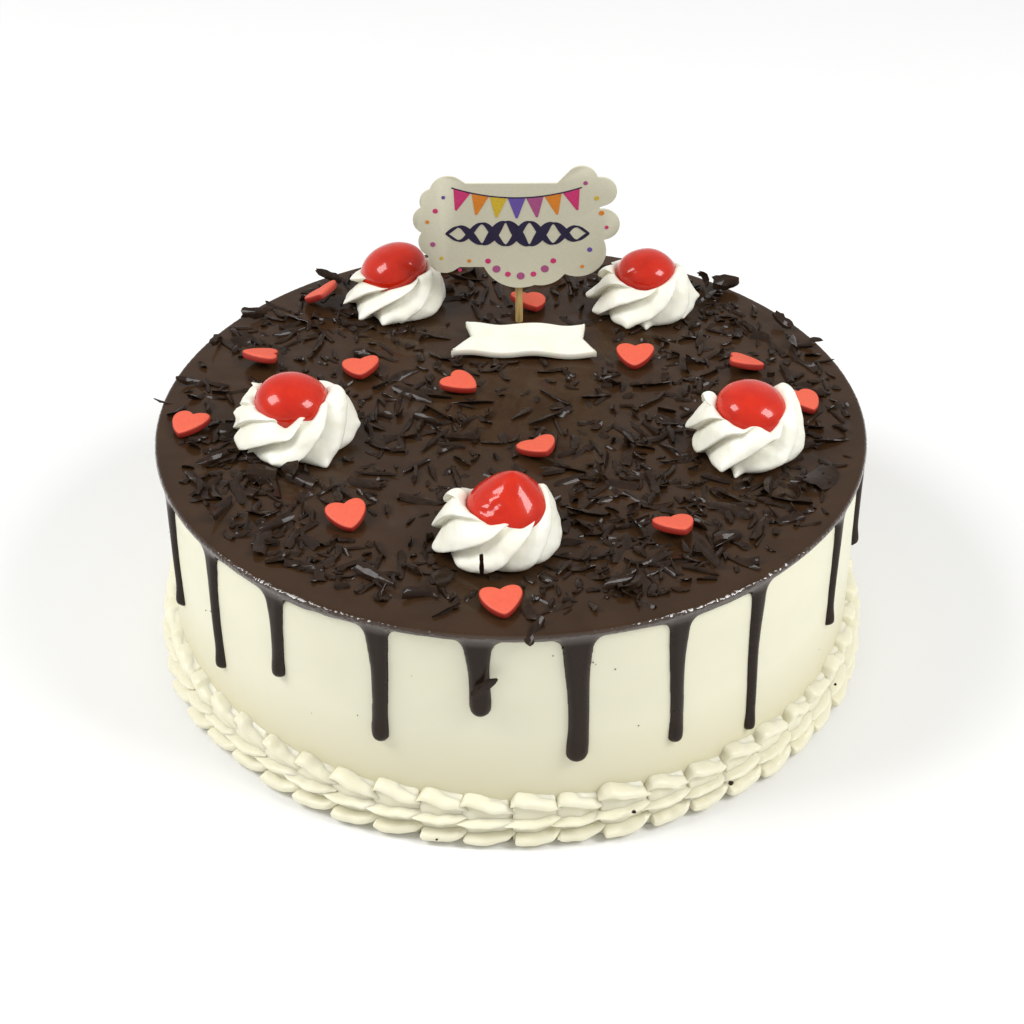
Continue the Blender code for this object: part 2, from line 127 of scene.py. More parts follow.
# The lip round a rosette: direction in degrees and height above the rosette's own lip in millimetres
LIPS = {
    "left": (
        (-180.0, 0.6), (-140.0, 0.8), (-112.0, 0.6), (-95.0, -2.2), (-76.0, 1.4), (-56.0, -0.6), (-36.0, 3.0),
        (-6.0, 3.4), (30.0, 1.0), (90.0, -1.6), (140.0, 0.8), (152.0, 2.4), (164.0, 0.2),
    ),
    "right": (
        (-180.0, 2.6), (-150.0, 2.2), (-126.0, 1.6), (-104.0, 0.2), (-92.0, 1.6), (-74.0, 1.2), (-62.0, -1.4),
        (-40.0, 1.4), (-12.0, 2.8), (14.0, 5.0), (34.0, 4.4), (60.0, -0.8), (110.0, -1.8), (146.0, 0.8),
        (166.0, 4.8),
    ),
    "front": (
        (-180.0, 3.0), (-150.0, 3.4), (-125.0, 2.6), (-104.0, 1.0), (-85.0, 2.0), (-62.0, -0.4), (-40.0, 0.6),
        (-16.0, 2.2), (6.0, 4.2), (20.0, 4.8), (38.0, 0.4), (70.0, -4.0), (120.0, -3.0), (160.0, 2.6),
    ),
    "back_left": (
        (-180.0, -0.4), (-150.0, -0.6), (-118.0, -1.4), (-90.0, -0.6), (-64.0, 0.2), (-44.0, 2.2),
        (-14.0, 1.4), (20.0, 1.6), (60.0, -0.6), (110.0, -1.6), (150.0, -0.4),
    ),
    "back_right": (
        (-180.0, 2.0), (-150.0, 1.2), (-120.0, 0.0), (-88.0, -0.6), (-60.0, 0.2), (-36.0, 1.2), (-8.0, 2.4),
        (24.0, 0.6), (80.0, -1.2), (130.0, -0.8), (162.0, 1.4),
    ),
}

# Pleats: how deep each is against the usual, going round from the rosette's own turn
PLEAT_DEPTHS = {
    "left": (1.0, 0.3, 1.2, 0.9, 0.4, 1.3, 1.2, 1.4),
    "right": (0.5, 0.5, 0.9, 1.1, 0.7, 1.4, 1.1, 0.6),
    "front": (0.5, 0.5, 0.7, 0.9, 1.0, 1.0, 1.2, 0.6),
    "back_left": (0.4, 0.5, 0.8, 1.0, 1.3, 1.3, 1.1, 1.0),
    "back_right": (1.2, 0.6, 0.8, 1.1, 1.3, 1.2, 1.2, 1.1),
}

# Cherries: name, x, y, z and radius in millimetres, height against width, tilt in degrees, peak
CHERRIES = (
    ("left", -62.2, -10.8, 83.2, 10.7, 0.74, 4.0, 0.0),
    ("right", 68.6, -15.0, 82.4, 10.9, 0.71, 14.0, 0.0),
    ("front", -0.7, -61.9, 82.6, 11.3, 0.70, 0.0, 3.0),
    ("back_left", -36.6, 66.6, 83.2, 10.6, 0.72, -20.0, 0.0),
    ("back_right", 42.5, 64.5, 83.0, 9.4, 0.72, 0.0, 0.0),
)

# Hearts: x and y in millimetres, then in degrees the point's direction and fall and the sideways lean
HEARTS = (
    (-59.0, 64.5, -85.0, -19.0, 28.0),
    (-75.7, 29.3, -179.0, -7.0, 17.0),
    (-93.0, -6.8, -112.0, 6.0, 7.0),
    (-44.8, 23.8, -87.0, -1.0, 7.0),
    (-14.7, 15.3, -34.0, 4.0, -5.0),
    (8.2, -20.4, -67.0, -11.0, 5.0),
    (-44.3, -53.2, -74.0, 13.0, 4.0),
    (-2.4, -91.0, -82.0, 7.0, 1.0),
    (44.5, -58.9, -68.0, -13.0, -6.0),
    (37.6, 30.0, -94.0, 9.0, 2.0),
    (70.6, 24.7, -13.0, 10.0, -19.0),
    (85.5, 3.7, -65.0, 6.0, -13.0),
    (6.2, 62.2, -70.0, -1.0, -14.0),
)
HEART_WIDTH = 11.4 * MM
HEART_LENGTH = 10.6 * MM
HEART_THICKNESS = 2.2 * MM

# Ribbon plaque: y, left end and right end of its three edges, in millimetres
PLAQUE_EDGES = (
    (32.2, -18.0, 26.0),
    (40.6, -11.8, 22.0),
    (49.0, -13.8, 23.0),
)
PLAQUE_THICKNESS = 2.4 * MM
PLAQUE_WAVE = 0.5 * MM
PLAQUE_SKEW = 1.5 * MM
PLAQUE_COLUMNS = 79
PLAQUE_ROWS = 24

# The plaque's rounded section: share of its thickness, and how far the edge is drawn in, in millimetres
PLAQUE_LEVELS = ((0.0, 0.55), (0.04, 0.2), (0.16, 0.0), (0.78, 0.0), (0.92, 0.2), (0.98, 0.45), (1.0, 0.8))

# Topper card: scallops as x, z and radius, and its middle panel's ends in x and z, in millimetres
CARD_CENTRE = (2.0, 105.0)
CARD_SCALLOPS = (
    (-18.5, 116.4, 5.6),
    (-22.8, 113.5, 4.4),
    (-24.6, 107.4, 4.8),
    (-22.6, 100.0, 5.3),
    (-20.0, 94.3, 5.0),
    (2.8, 95.6, 11.6),
    (9.2, 93.8, 9.0),
    (20.6, 96.6, 8.7),
    (28.0, 105.7, 5.2),
    (27.3, 116.7, 4.8),
    (21.4, 120.2, 5.0),
)
CARD_PANEL = (-22.5, 27.0, 91.3, 119.6)
CARD_REACH = 26.0

# Flakes that the solids also have: how many, and the ranges of their sizes in millimetres
CAD_FLAKES = 116
CAD_FLAKE_LENGTH = (5.0, 12.5)
CAD_FLAKE_WIDTH = (1.3, 3.0)
CAD_FLAKE_HEIGHT = (0.8, 2.4)
FLAKE_FIELD = 95.0
BARE_STRIP = 5.0

# Flakes placed one by one: x, y, z, length, width in millimetres; heading, roll and pitch in degrees
CHOSEN_FLAKES = (
    (-7.1, -104.4, 55.9, 8.4, 2.8, 0.0, 72.0, -42.0),
    (6.2, -100.8, 71.3, 8.5, 3.2, 60.0, 50.0, -20.0),
    (-7.7, -79.9, 76.8, 7.4, 1.1, 90.0, 0.0, 80.0),
    (24.9, -31.7, 73.4, 8.5, 4.6, 100.0, 48.0, 8.0),
    (34.0, -14.5, 73.6, 7.0, 4.2, 120.0, 62.0, 0.0),
    (86.9, -33.6, 72.6, 12.0, 7.6, 62.0, 9.0, 4.0),
    (59.8, -48.4, 72.7, 11.5, 5.0, -28.0, 16.0, -4.0),
    (71.7, -37.9, 72.9, 10.0, 3.4, 78.0, 38.0, 4.0),
    (62.3, 74.2, 75.4, 8.6, 6.0, 100.0, 70.0, 30.0),
    (68.6, 73.0, 74.4, 8.4, 5.2, 12.0, 66.0, 5.0),
    (93.6, 41.5, 72.2, 5.0, 1.6, 20.0, 40.0, 18.0),
    (-102.3, 8.4, 71.4, 5.6, 1.6, 165.0, 30.0, -8.0),
    (-78.5, -10.0, 73.6, 10.0, 5.6, 20.0, 35.0, 5.0),
    (-72.0, -21.0, 73.2, 9.0, 7.0, -20.0, 24.0, -6.0),
    (-58.5, -34.5, 72.6, 8.6, 3.6, -28.0, 40.0, 3.0),
    (-63.5, -55.5, 72.6, 11.0, 3.6, 35.0, 55.0, 2.0),
    (-66.5, -62.5, 72.4, 11.5, 4.2, 80.0, 14.0, 4.0),
    (-54.5, -73.8, 72.2, 11.5, 3.0, -22.0, 30.0, 2.0),
    (-29.0, 11.0, 72.4, 13.0, 3.4, -32.0, 26.0, 3.0),
    (-24.5, -4.0, 72.8, 9.0, 2.4, -35.0, 70.0, 0.0),
    (-14.0, -12.5, 72.6, 10.5, 3.2, -4.0, 42.0, 1.0),
    (-17.0, -16.0, 72.0, 8.0, 2.2, -10.0, 30.0, 0.0),
    (-41.0, -35.5, 72.2, 9.5, 3.0, -20.0, 36.0, 4.0),
    (78.5, -24.0, 72.4, 9.0, 4.4, 30.0, 30.0, 0.0),
    (-69.5, -31.5, 73.6, 8.0, 5.4, 5.0, 28.0, 10.0),
    (-62.0, -30.5, 74.2, 7.4, 6.0, -60.0, 46.0, 8.0),
    (-84.0, -24.0, 73.0, 10.5, 3.2, 40.0, 50.0, 3.0),
    (-88.0, -34.0, 72.6, 9.0, 3.0, -50.0, 40.0, 5.0),
    (-79.0, -48.0, 73.0, 12.0, 3.4, 72.0, 45.0, 6.0),
    (-36.0, -79.0, 73.0, 12.5, 3.8, -36.0, 40.0, 4.0),
    (-24.0, -86.0, 72.6, 9.0, 3.4, 15.0, 52.0, 3.0),
    (-18.0, -80.0, 73.2, 8.0, 4.4, 60.0, 30.0, 8.0),
    (28.0, -82.0, 72.8, 10.0, 3.2, 30.0, 48.0, 4.0),
    (52.0, -70.0, 73.2, 11.0, 3.0, -64.0, 40.0, 5.0),
    (58.0, -62.0, 72.8, 8.0, 4.6, 20.0, 34.0, 6.0),
    (-80.0, 56.0, 74.0, 8.0, 3.6, 30.0, 60.0, 18.0),
    (-58.0, 79.0, 74.2, 9.0, 3.0, -20.0, 58.0, 14.0),
    (-90.0, 40.0, 73.6, 7.6, 3.0, 70.0, 62.0, 16.0),
    (12.0, 82.0, 73.6, 9.0, 3.0, 8.0, 66.0, 6.0),
    (-96.0, 18.0, 73.0, 7.0, 2.6, 15.0, 40.0, 18.0),
    (84.0, 50.0, 73.8, 8.0, 3.4, -50.0, 55.0, 10.0),
)

# Clumps of the scattered flakes: x, y and radius in millimetres, and how much more readily a flake
# lies there; below zero it is a bare patch
FLAKE_CLUMPS = (
    (-68.0, -48.0, 17.0, 1.9),
    (-78.0, -28.0, 12.0, 1.8),
    (-44.0, -74.0, 15.0, 0.9),
    (24.0, -76.0, 20.0, 1.4),
    (50.0, -56.0, 22.0, 1.6),
    (78.0, -36.0, 13.0, 1.8),
    (-30.0, 4.0, 16.0, 0.9),
    (36.0, -16.0, 14.0, 1.0),
    (70.0, 62.0, 16.0, 1.6),
    (80.0, 28.0, 15.0, 1.2),
    (36.0, -87.0, 11.0, 1.6),
    (61.0, -74.0, 10.0, 1.5),
    (81.0, -52.0, 9.0, 1.2),
    (-38.0, -87.0, 9.0, 1.2),
    (-58.0, 58.0, 18.0, 1.0),
    (2.0, 2.0, 9.0, -0.9),
    (22.0, -9.0, 8.0, -0.7),
    (-29.0, -60.0, 8.0, -0.7),
    (-50.0, 0.0, 7.0, -0.5),
    (62.0, -36.0, 7.0, -0.8),
    (16.0, 50.0, 10.0, -0.4),
)

# Dark crumbs on the cream: direction in degrees; distance from the axis, height and size in millimetres
CHOSEN_CRUMBS = (
    (-72.3, 107.6, 10.6, 1.5),
    (-56.3, 107.9, 9.3, 1.7),
    (-144.4, 101.8, 45.8, 0.7),
    (-82.6, 102.0, 66.0, 0.8),
    (-29.0, 106.4, 12.4, 0.9),
    (-101.0, 107.0, 3.0, 0.8),
    (118.0, 107.4, 8.0, 1.2),
    (64.0, 106.9, 13.0, 0.9),
    (171.0, 107.2, 6.0, 1.0),
)


def colour_choice(name, description, default):
    """A colour that the user may change."""
    return bpy.props.FloatVectorProperty(
        name=name, description=description, default=default, subtype="COLOR", size=3, min=0.0, max=1.0
    )


def length_choice(name, description, default):
    """A length that the user may change."""
    return bpy.props.FloatProperty(
        name=name, description=description, default=default, min=0.0, subtype="DISTANCE", unit="LENGTH"
    )


def angle_choice(name, description, degrees):
    """An angle that the user may change."""
    return bpy.props.FloatProperty(
        name=name, description=description, default=math.radians(degrees), subtype="ANGLE", unit="ROTATION"
    )


def count_choice(name, description, default, low, high):
    """A count that the user may change."""
    return bpy.props.IntProperty(name=name, description=description, default=default, min=low, max=high)


class CreamSettings(bpy.types.PropertyGroup):
    """The smooth cream coat of the cake."""

    colour: colour_choice("Coat colour", "Colour of the smooth cream on the side", (0.755, 0.735, 0.565))
    # Painted reflection and shade at the foot: a darker, yellower cream, as a gold board under the cake would
    # reflect onto it.
    painted_board_reflection: colour_choice("Low colour", "Warmer colour of the cream towards the foot", (0.61, 0.55, 0.34))
    relief: length_choice("Relief", "How far the smoothed cream wanders in and out", 0.16 * MM)


class GanacheSettings(bpy.types.PropertyGroup):
    """The poured chocolate top and its drips."""

    top: length_choice("Top height", "Height of the ganache's top above the foot of the cake", 71.2 * MM)
    rim: length_choice("Rim radius", "Distance of the rim from the axis", 103.0 * MM)
    lip_depth: length_choice("Lip depth", "How far the ganache turns down over the edge", 3.0 * MM)
    drip_thickness: length_choice("Drip thickness", "How far a drip stands out from the cream", 1.6 * MM)
    shoulder: length_choice("Drip shoulder", "Width of the flare where a drip leaves the lip", 3.8 * MM)
    colour: colour_choice("Ganache colour", "Colour of the poured chocolate", (0.035, 0.0165, 0.0066))
    flake_colour: colour_choice("Flake colour", "Colour of the chocolate shavings", (0.020, 0.0105, 0.006))
    flakes: count_choice("Scattered flakes", "How many small shavings lie between large ones", 900, 0, 1500)


class PipingSettings(bpy.types.PropertyGroup):
    """The piped shells and rosettes."""

    shells: count_choice("Shells", "How many shells go round the foot", 52, 12, 90)
    shell_height: length_choice("Shell height", "Height of one shell", 16.4 * MM)
    shell_depth: length_choice("Shell depth", "How far a shell stands out from the side", 5.0 * MM)
    pleats: count_choice("Rosette pleats", "How many folds one rosette has", 8, 5, 12)
    colour: colour_choice("Rosette colour", "Colour of the cream in the rosettes", (0.86, 0.85, 0.745))
    # Painted shade and reflection: the shells get a darker, yellower copy of the rosette cream, standing in
    # for weaker light and a gold board's reflection at the foot.
    shaded_shell_colour: colour_choice("Shell colour", "Colour of the cream in the shells", (0.77, 0.74, 0.575))


class ToppingSettings(bpy.types.PropertyGroup):
    """Cherries, sugar hearts and the ribbon plaque."""

    cherry: colour_choice("Cherry colour", "Colour of the candied cherries", (0.58, 0.020, 0.003))
    heart: colour_choice("Heart colour", "Colour of the sugar hearts", (0.71, 0.10, 0.050))
    plaque: colour_choice("Plaque colour", "Colour of the sugar ribbon", (0.83, 0.82, 0.72))


class TopperSettings(bpy.types.PropertyGroup):
    """The printed card on its stick."""

    paper: colour_choice("Card colour", "Colour of the bare card", (0.63, 0.61, 0.465))
    wood: colour_choice("Stick colour", "Colour of the wooden stick", (0.46, 0.31, 0.11))


class StageSettings(bpy.types.PropertyGroup):
    """Floor, light and camera."""

    distance: length_choice("Camera distance", "How far the camera stands from its aim", 656.0 * MM)
    elevation: angle_choice("Camera elevation", "How steeply the camera looks down", 35.27)
    roll: angle_choice("Camera roll", "Turn of the picture", -0.225)
    lens: bpy.props.FloatProperty(
        name="Lens",
        description="Focal length in millimetres on a 36 mm sensor",
        default=76.78,
        min=20.0,
        max=200.0,
    )
    aim_height: length_choice("Aim height", "Height of the point that the camera looks at", 37.07 * MM)
    floor: colour_choice("Floor colour", "Colour of the plain floor", (0.86, 0.86, 0.855))
    box_power: bpy.props.FloatProperty(
        name="Softbox power",
        description="Power of the left softbox in watts; the right one has nine tenths of it",
        default=15.0,
        min=0.0,
        max=500.0,
        unit="POWER",
    )
    sky: bpy.props.FloatProperty(
        name="Surrounding light",
        description="Strength of the even light from all round",
        default=0.55,
        min=0.0,
        max=5.0,
    )


def steps(low, high, count):
    return np.linspace(low, high, count)


def ease(low, high, value):
    """A smooth rise from 0 at low to 1 at high."""
    share = np.clip((value - low) / (high - low), 0.0, 1.0)
    return share * share * (3.0 - 2.0 * share)


def mixed(low, high, share):
    return low + (high - low) * share


def soft_max(first, second, width):
    """The larger of two distances, with a fillet where they are about equal."""
    share = np.clip(0.5 + 0.5 * (first - second) / width, 0.0, 1.0)
    return mixed(second, first, share) + width * share * (1.0 - share)


def ripples(points, wavelength, seed, count=9):
    """Smooth random relief from about -1 to 1, made of waves that run in many directions."""
    draw = np.random.default_rng(seed)
    points = np.asarray(points, float)
    ways = draw.normal(size=(count, points.shape[-1]))
    ways /= np.linalg.norm(ways, axis=1, keepdims=True)
    ways *= ALL_ROUND / wavelength * draw.uniform(0.6, 1.5, (count, 1))
    phase = draw.uniform(0.0, ALL_ROUND, count)
    return np.cos(points @ ways.T + phase).mean(axis=-1) * 1.7


def around(radius, angle, height):
    """Points at a distance from the axis, a direction and a height."""
    radius, angle, height = np.broadcast_arrays(radius, angle, height)
    return np.stack((radius * np.cos(angle), radius * np.sin(angle), height), -1)


def directions(count):
    """Evenly spaced directions, once round."""
    return np.arange(count) * ALL_ROUND / count


def turned(points, heading=0.0, pitch=0.0, roll=0.0):
    """Points rolled about X, then tipped about Y, then turned about Z."""
    turn = Matrix.Rotation(heading, 3, "Z") @ Matrix.Rotation(pitch, 3, "Y") @ Matrix.Rotation(roll, 3, "X")
    return points @ np.array(turn).T


def angle_between(first, second):
    """The signed turn between two directions, at most half a turn."""
    return (first - second + math.pi) % ALL_ROUND - math.pi


def through(rows, share):
    """A smooth curve through rows of values, at shares from 0 to 1 of the way along them."""
    rows = np.asarray(rows, float)
    place = np.clip(share, 0.0, 1.0) * (len(rows) - 1)
    index = np.minimum(place.astype(int), len(rows) - 2)
    part = (place - index)[:, None]
    ends = np.vstack((2 * rows[0] - rows[1], rows, 2 * rows[-1] - rows[-2]))
    a, b, c, d = (ends[index + step] for step in range(4))
    return 0.5 * (
        2 * b + (c - a) * part + (2 * a - 5 * b + 4 * c - d) * part**2 + (3 * b - a - 3 * c + d) * part**3
    )


class Shape:
    """Points and faces gathered for one mesh."""

    def __init__(self):
        self.points = []
        self.faces = []
        self.paints = []
        self.count = 0

    def add_faces(self, faces, paint=0, first=0):
        """Add faces whose corners count from the point of a given number."""
        self.faces += [[first + int(corner) for corner in face] for face in faces]
        self.paints += [paint] * len(faces)

    def add(self, points, faces=(), paint=0):
        """Add points, and faces that count from the first of them."""
        points = np.asarray(points, float).reshape(-1, 3)
        self.points.append(points)
        self.add_faces(faces, paint, self.count)
        self.count += len(points)

    def add_rings(self, rings, capped=True, paint=0):
        """Skin rings of equally many points, and close the first and the last."""
        rows, columns = rings.shape[:2]
        row, column = np.meshgrid(np.arange(rows - 1), np.arange(columns), indexing="ij")
        after = (column + 1) % columns
        low, high = row * columns, (row + 1) * columns
        faces = np.stack((low + column, low + after, high + after, high + column), -1)
        faces = faces.reshape(-1, 4).tolist()
        if capped:
            faces.append(list(range(columns)))
            faces.append(list(range((rows - 1) * columns, rows * columns)))
        self.add(rings, faces, paint)

    def mesh(self, name, outward=True):
        mesh = bpy.data.meshes.new(name)
        mesh.from_pydata(np.concatenate(self.points).tolist(), [], self.faces)
        mesh.polygons.foreach_set("material_index", self.paints)
        if outward:
            bm = bmesh.new()
            bm.from_mesh(mesh)
            bmesh.ops.recalc_face_normals(bm, faces=bm.faces)
            bm.to_mesh(mesh)
            bm.free()
        mesh.update()
        return mesh


def add_piece(name, mesh, materials, nodes=(), sharp=40.0):
    """Link a mesh as a piece of the cake that rides on its body and stands for its nodes."""
    for material in materials:
        mesh.materials.append(material)
    mesh.shade_smooth()
    mesh.set_sharp_from_angle(angle=math.radians(sharp))
    piece = bpy.data.objects.new(name, mesh)
    bpy.context.scene.collection.objects.link(piece)
    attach(piece, "root")
    if nodes:
        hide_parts(*nodes)


def add_skin(name, rings, material, node, sharp=40.0):
    """Close rings of points into one skin, and add it as the piece that stands for a node."""
    shape = Shape()
    shape.add_rings(np.asarray(rings))
    add_piece(name, shape.mesh(name), [material], [node], sharp)


class Finish:
    """A material whose procedural nodes are added one by one."""

    def __init__(self, name, colour, roughness, **sockets):
        self.material = bpy.data.materials.new(name)
        self.material.use_nodes = True
        self.tree = self.material.node_tree
        self.shader = self.tree.nodes["Principled BSDF"].inputs
        self.base = tuple(colour)
        sockets.update(base_color=self.base, roughness=roughness)
        for words, value in sockets.items():
            self.feed(self.shader[words.replace("_", " ").title().replace("Ior", "IOR")], value)
        self.place = self.node("TexCoord", "Object")
        self.normal = None

    def feed(self, socket, source):
        """Give a socket a value, a colour or another node's output."""
        if isinstance(source, bpy.types.NodeSocket):
            self.tree.links.new(source, socket)
        elif socket.type == "RGBA":
            socket.default_value = (*source, 1.0)
        else:
            socket.default_value = source

    def node(self, kind, output, inputs=(), **values):
        """Add a node, feed its inputs by name or number, and give one of its outputs."""
        made = self.tree.nodes.new("ShaderNode" + kind)
        for name, value in values.items():
            setattr(made, name, value)
        for socket, source in dict(inputs).items():
            self.feed(made.inputs[socket], source)
        return made.outputs[output]

    def noise(self, size, detail=3.0, warp=0.0, scale=None):
        """Noise whose features are about size metres wide, packed along the axes by a scale."""
        place = self.place
        if scale:
            place = self.node("Mapping", "Vector", {"Vector": place, "Scale": scale})
        inputs = {"Vector": place, "Scale": 1.0 / size, "Detail": detail, "Distortion": warp}
        return self.node("TexNoise", "Fac", inputs)

    def spread(self, source, low, high, to_low=0.0, to_high=1.0):
        """Stretch part of a value's range over another range."""
        names = ("Value", "From Min", "From Max", "To Min", "To Max")
        return self.node("MapRange", "Result", zip(names, (source, low, high, to_low, to_high)))

    def blend(self, share, first, second):
        return self.node("Mix", 2, {"Factor": share, 6: first, 7: second}, data_type="RGBA")

    def vertical(self, source):
        """The upright part of a vector: a point's height in metres, or how far a surface faces up."""
        return self.node("SeparateXYZ", "Z", {"Vector": source})

    def sum(self, first, second, weight):
        """The first value plus a share of the second."""
        return self.node("Math", "Value", {0: second, 1: weight, 2: first}, operation="MULTIPLY_ADD")

    def bump(self, relief, depth, strength):
        """Add a bump that is about depth metres deep."""
        inputs = {"Strength": strength, "Distance": depth, "Height": relief}
        if self.normal is not None:
            inputs["Normal"] = self.normal
        self.normal = self.node("Bump", "Normal", inputs)
        self.feed(self.shader["Normal"], self.normal)

    def patches(self, size, first, second, **noise):
        """A mix of two colours in patches about size metres wide."""
        return self.blend(self.spread(self.noise(size, **noise), 0.35, 0.65), first, second)

    def paint(self, source):
        self.feed(self.shader["Base Color"], source)

    def gloss(self, size, smooth, rough, **noise):
        """Let the roughness wander between two values, in patches about size metres wide."""
        wander = self.spread(self.noise(size, **noise), 0.3, 0.7, smooth, rough)
        self.feed(self.shader["Roughness"], wander)


def tinted(colour, *shares):
    """A colour with its channels scaled, by one share or by a share each."""
    if len(shares) == 1:
        shares = shares * 3
    return tuple(channel * share for channel, share in zip(colour, shares))


def cream_coat_finish(settings):
    finish = Finish(
        "side_cream",
        settings.colour,
        0.5,
        subsurface_weight=0.2,
        subsurface_scale=0.003,
        subsurface_radius=(1.0, 0.85, 0.6),
        coat_weight=0.12,
        coat_roughness=0.35,
    )
    clouds = finish.noise(38 * MM, detail=2.0, scale=(1.0, 1.0, 1.6))
    mottled = finish.blend(finish.spread(clouds, 0.35, 0.65), finish.base, tinted(finish.base, 0.965))
    height = finish.vertical(finish.place)
    # Painted reflection and shade: towards the foot the cream is painted darker and yellower, as a gold board
    # under the cake would reflect onto it.
    low = finish.spread(finish.sum(height, clouds, 14 * MM), 44 * MM, 8 * MM)
    finish.paint(finish.blend(low, mottled, tuple(settings.painted_board_reflection)))
    finish.gloss(9 * MM, 0.42, 0.58)
    finish.bump(finish.noise(2.2 * MM, detail=4.0, scale=(0.5, 0.5, 2.4)), 0.05 * MM, 0.35)
    finish.bump(finish.noise(0.35 * MM, detail=2.0), 0.012 * MM, 0.4)
    return finish.material


def piped_cream_finish(name, colour):
    finish = Finish(
        name,
        colour,
        0.46,
        subsurface_weight=0.3,
        subsurface_scale=0.0025,
        subsurface_radius=(1.0, 0.95, 0.8),
        coat_weight=0.1,
    )
    finish.paint(finish.patches(6 * MM, finish.base, tinted(finish.base, 0.985, 0.98, 0.94)))
    finish.gloss(4 * MM, 0.38, 0.55)
    finish.bump(finish.noise(1.4 * MM), 0.06 * MM, 0.3)
    finish.bump(finish.noise(0.3 * MM, detail=2.0), 0.012 * MM, 0.35)
    return finish.material


def ganache_finish(settings):
    """Poured chocolate: satin on top, a wet shine along the rim, and drips and lip painted darker as shade.
    """
    finish = Finish(
        "dark_ganache",
        settings.colour,
        0.3,
        specular_ior_level=0.12,
        coat_weight=0.12,
        coat_roughness=0.08,
        coat_ior=1.8,
    )
    base = finish.base
    poured = finish.patches(16 * MM, tinted(base, 0.9), tinted(base, 1.15), warp=0.6)
    height = finish.vertical(finish.place)
    # Painted shade: the lip and the drips on the side get a base colour under half as bright as the top.
    side = finish.spread(height, 70.2 * MM, 67 * MM)
    finish.paint(finish.blend(side, poured, tinted(base, 0.45)))
    finish.gloss(7 * MM, 0.22, 0.42, detail=4.0, warp=0.4)
    rim = finish.spread(height, 71.1 * MM, 70.6 * MM, 0.14, 1.0)
    finish.feed(finish.shader["Coat Weight"], finish.sum(rim, side, -0.9))
    finish.bump(finish.noise(5 * MM, warp=0.5), 0.12 * MM, 0.5)
    finish.bump(finish.noise(0.7 * MM), 0.02 * MM, 0.3)
    return finish.material


def flake_finish(settings):
    finish = Finish(
        "chocolate_flakes",
        settings.flake_colour,
        0.35,
        specular_ior_level=0.08,
        coat_weight=0.5,
        coat_roughness=0.07,
        coat_ior=1.33,
    )
    finish.paint(finish.patches(2.5 * MM, tinted(finish.base, 0.8), tinted(finish.base, 1.35)))
    finish.gloss(1.6 * MM, 0.22, 0.5)
    finish.bump(finish.noise(0.9 * MM, detail=4.0), 0.1 * MM, 0.6)
    return finish.material


def cherry_finish(settings):
    """Candied skin: a clear coat over red, with shade painted as darker red towards the bottom."""
    finish = Finish(
        "candied_cherry",
        settings.cherry,
        0.25,
        subsurface_weight=0.2,
        subsurface_scale=0.003,
        subsurface_radius=(1.0, 0.1, 0.04),
        specular_ior_level=0.15,
        coat_weight=0.55,
        coat_roughness=0.06,
    )
    mottled = finish.patches(5 * MM, finish.base, tinted(finish.base, 0.88, 0.7, 0.6), detail=2.0)
    # Painted shade: the skin is painted darker and deeper red towards the bottom of the cherry.
    low = finish.spread(finish.vertical(finish.place), 86 * MM, 78 * MM)
    finish.paint(finish.blend(low, mottled, tinted(finish.base, 0.74, 0.45, 0.4)))
    finish.bump(finish.noise(2.4 * MM, detail=2.0, warp=0.8), 0.09 * MM, 0.45)
    finish.bump(finish.noise(0.9 * MM, detail=2.0, warp=0.6), 0.03 * MM, 0.35)
    return finish.material


def heart_finish(settings):
    """Pressed sugar whose sides are painted a darker red than the top, as shade."""
    finish = Finish("sugar_heart", settings.heart, 0.6, subsurface_weight=0.1, subsurface_scale=0.001)
    grain = finish.spread(finish.noise(0.9 * MM), 0.3, 0.7)
    top = finish.blend(grain, tinted(finish.base, 0.94), tinted(finish.base, 1.0, 1.1, 1.1))
    # Painted shade: faces that turn away from straight up are painted a darker red.
    facing = finish.vertical(finish.node("TexCoord", "Normal"))
    side = finish.spread(facing, 0.75, 0.35)
    finish.paint(finish.blend(side, top, tinted(finish.base, 0.5, 0.2, 0.2)))
    finish.gloss(2 * MM, 0.5, 0.68)
    finish.bump(finish.noise(0.35 * MM), 0.03 * MM, 0.4)
    return finish.material


def plaque_finish(settings):
    finish = Finish("sugar_ribbon", settings.plaque, 0.42, subsurface_weight=0.2, subsurface_scale=0.002)
    finish.paint(finish.patches(7 * MM, finish.base, tinted(finish.base, 0.98, 0.97, 0.92)))
    finish.gloss(5 * MM, 0.34, 0.5)
    finish.bump(finish.noise(1.6 * MM, detail=4.0), 0.05 * MM, 0.3)
    return finish.material


def card_finish(settings):
    finish = Finish("printed_card", settings.paper, 0.5)
    fibres = finish.noise(0.5 * MM, detail=4.0, scale=(0.5, 1.0, 2.0))
    streaks = finish.spread(fibres, 0.35, 0.65)
    finish.paint(finish.blend(streaks, tinted(finish.base, 0.96), tinted(finish.base, 1.03)))
    finish.gloss(3 * MM, 0.42, 0.58)
    finish.bump(fibres, 0.02 * MM, 0.3)
    return finish.material


def ink_finish(name, colour):
    finish = Finish("ink_" + name, colour, 0.45)
    grain = finish.spread(finish.noise(0.4 * MM, detail=2.0), 0.3, 0.7)
    finish.paint(finish.blend(grain, tinted(colour, 0.88), tinted(colour, 1.1)))
    finish.gloss(1.5 * MM, 0.38, 0.52)
    return finish.material


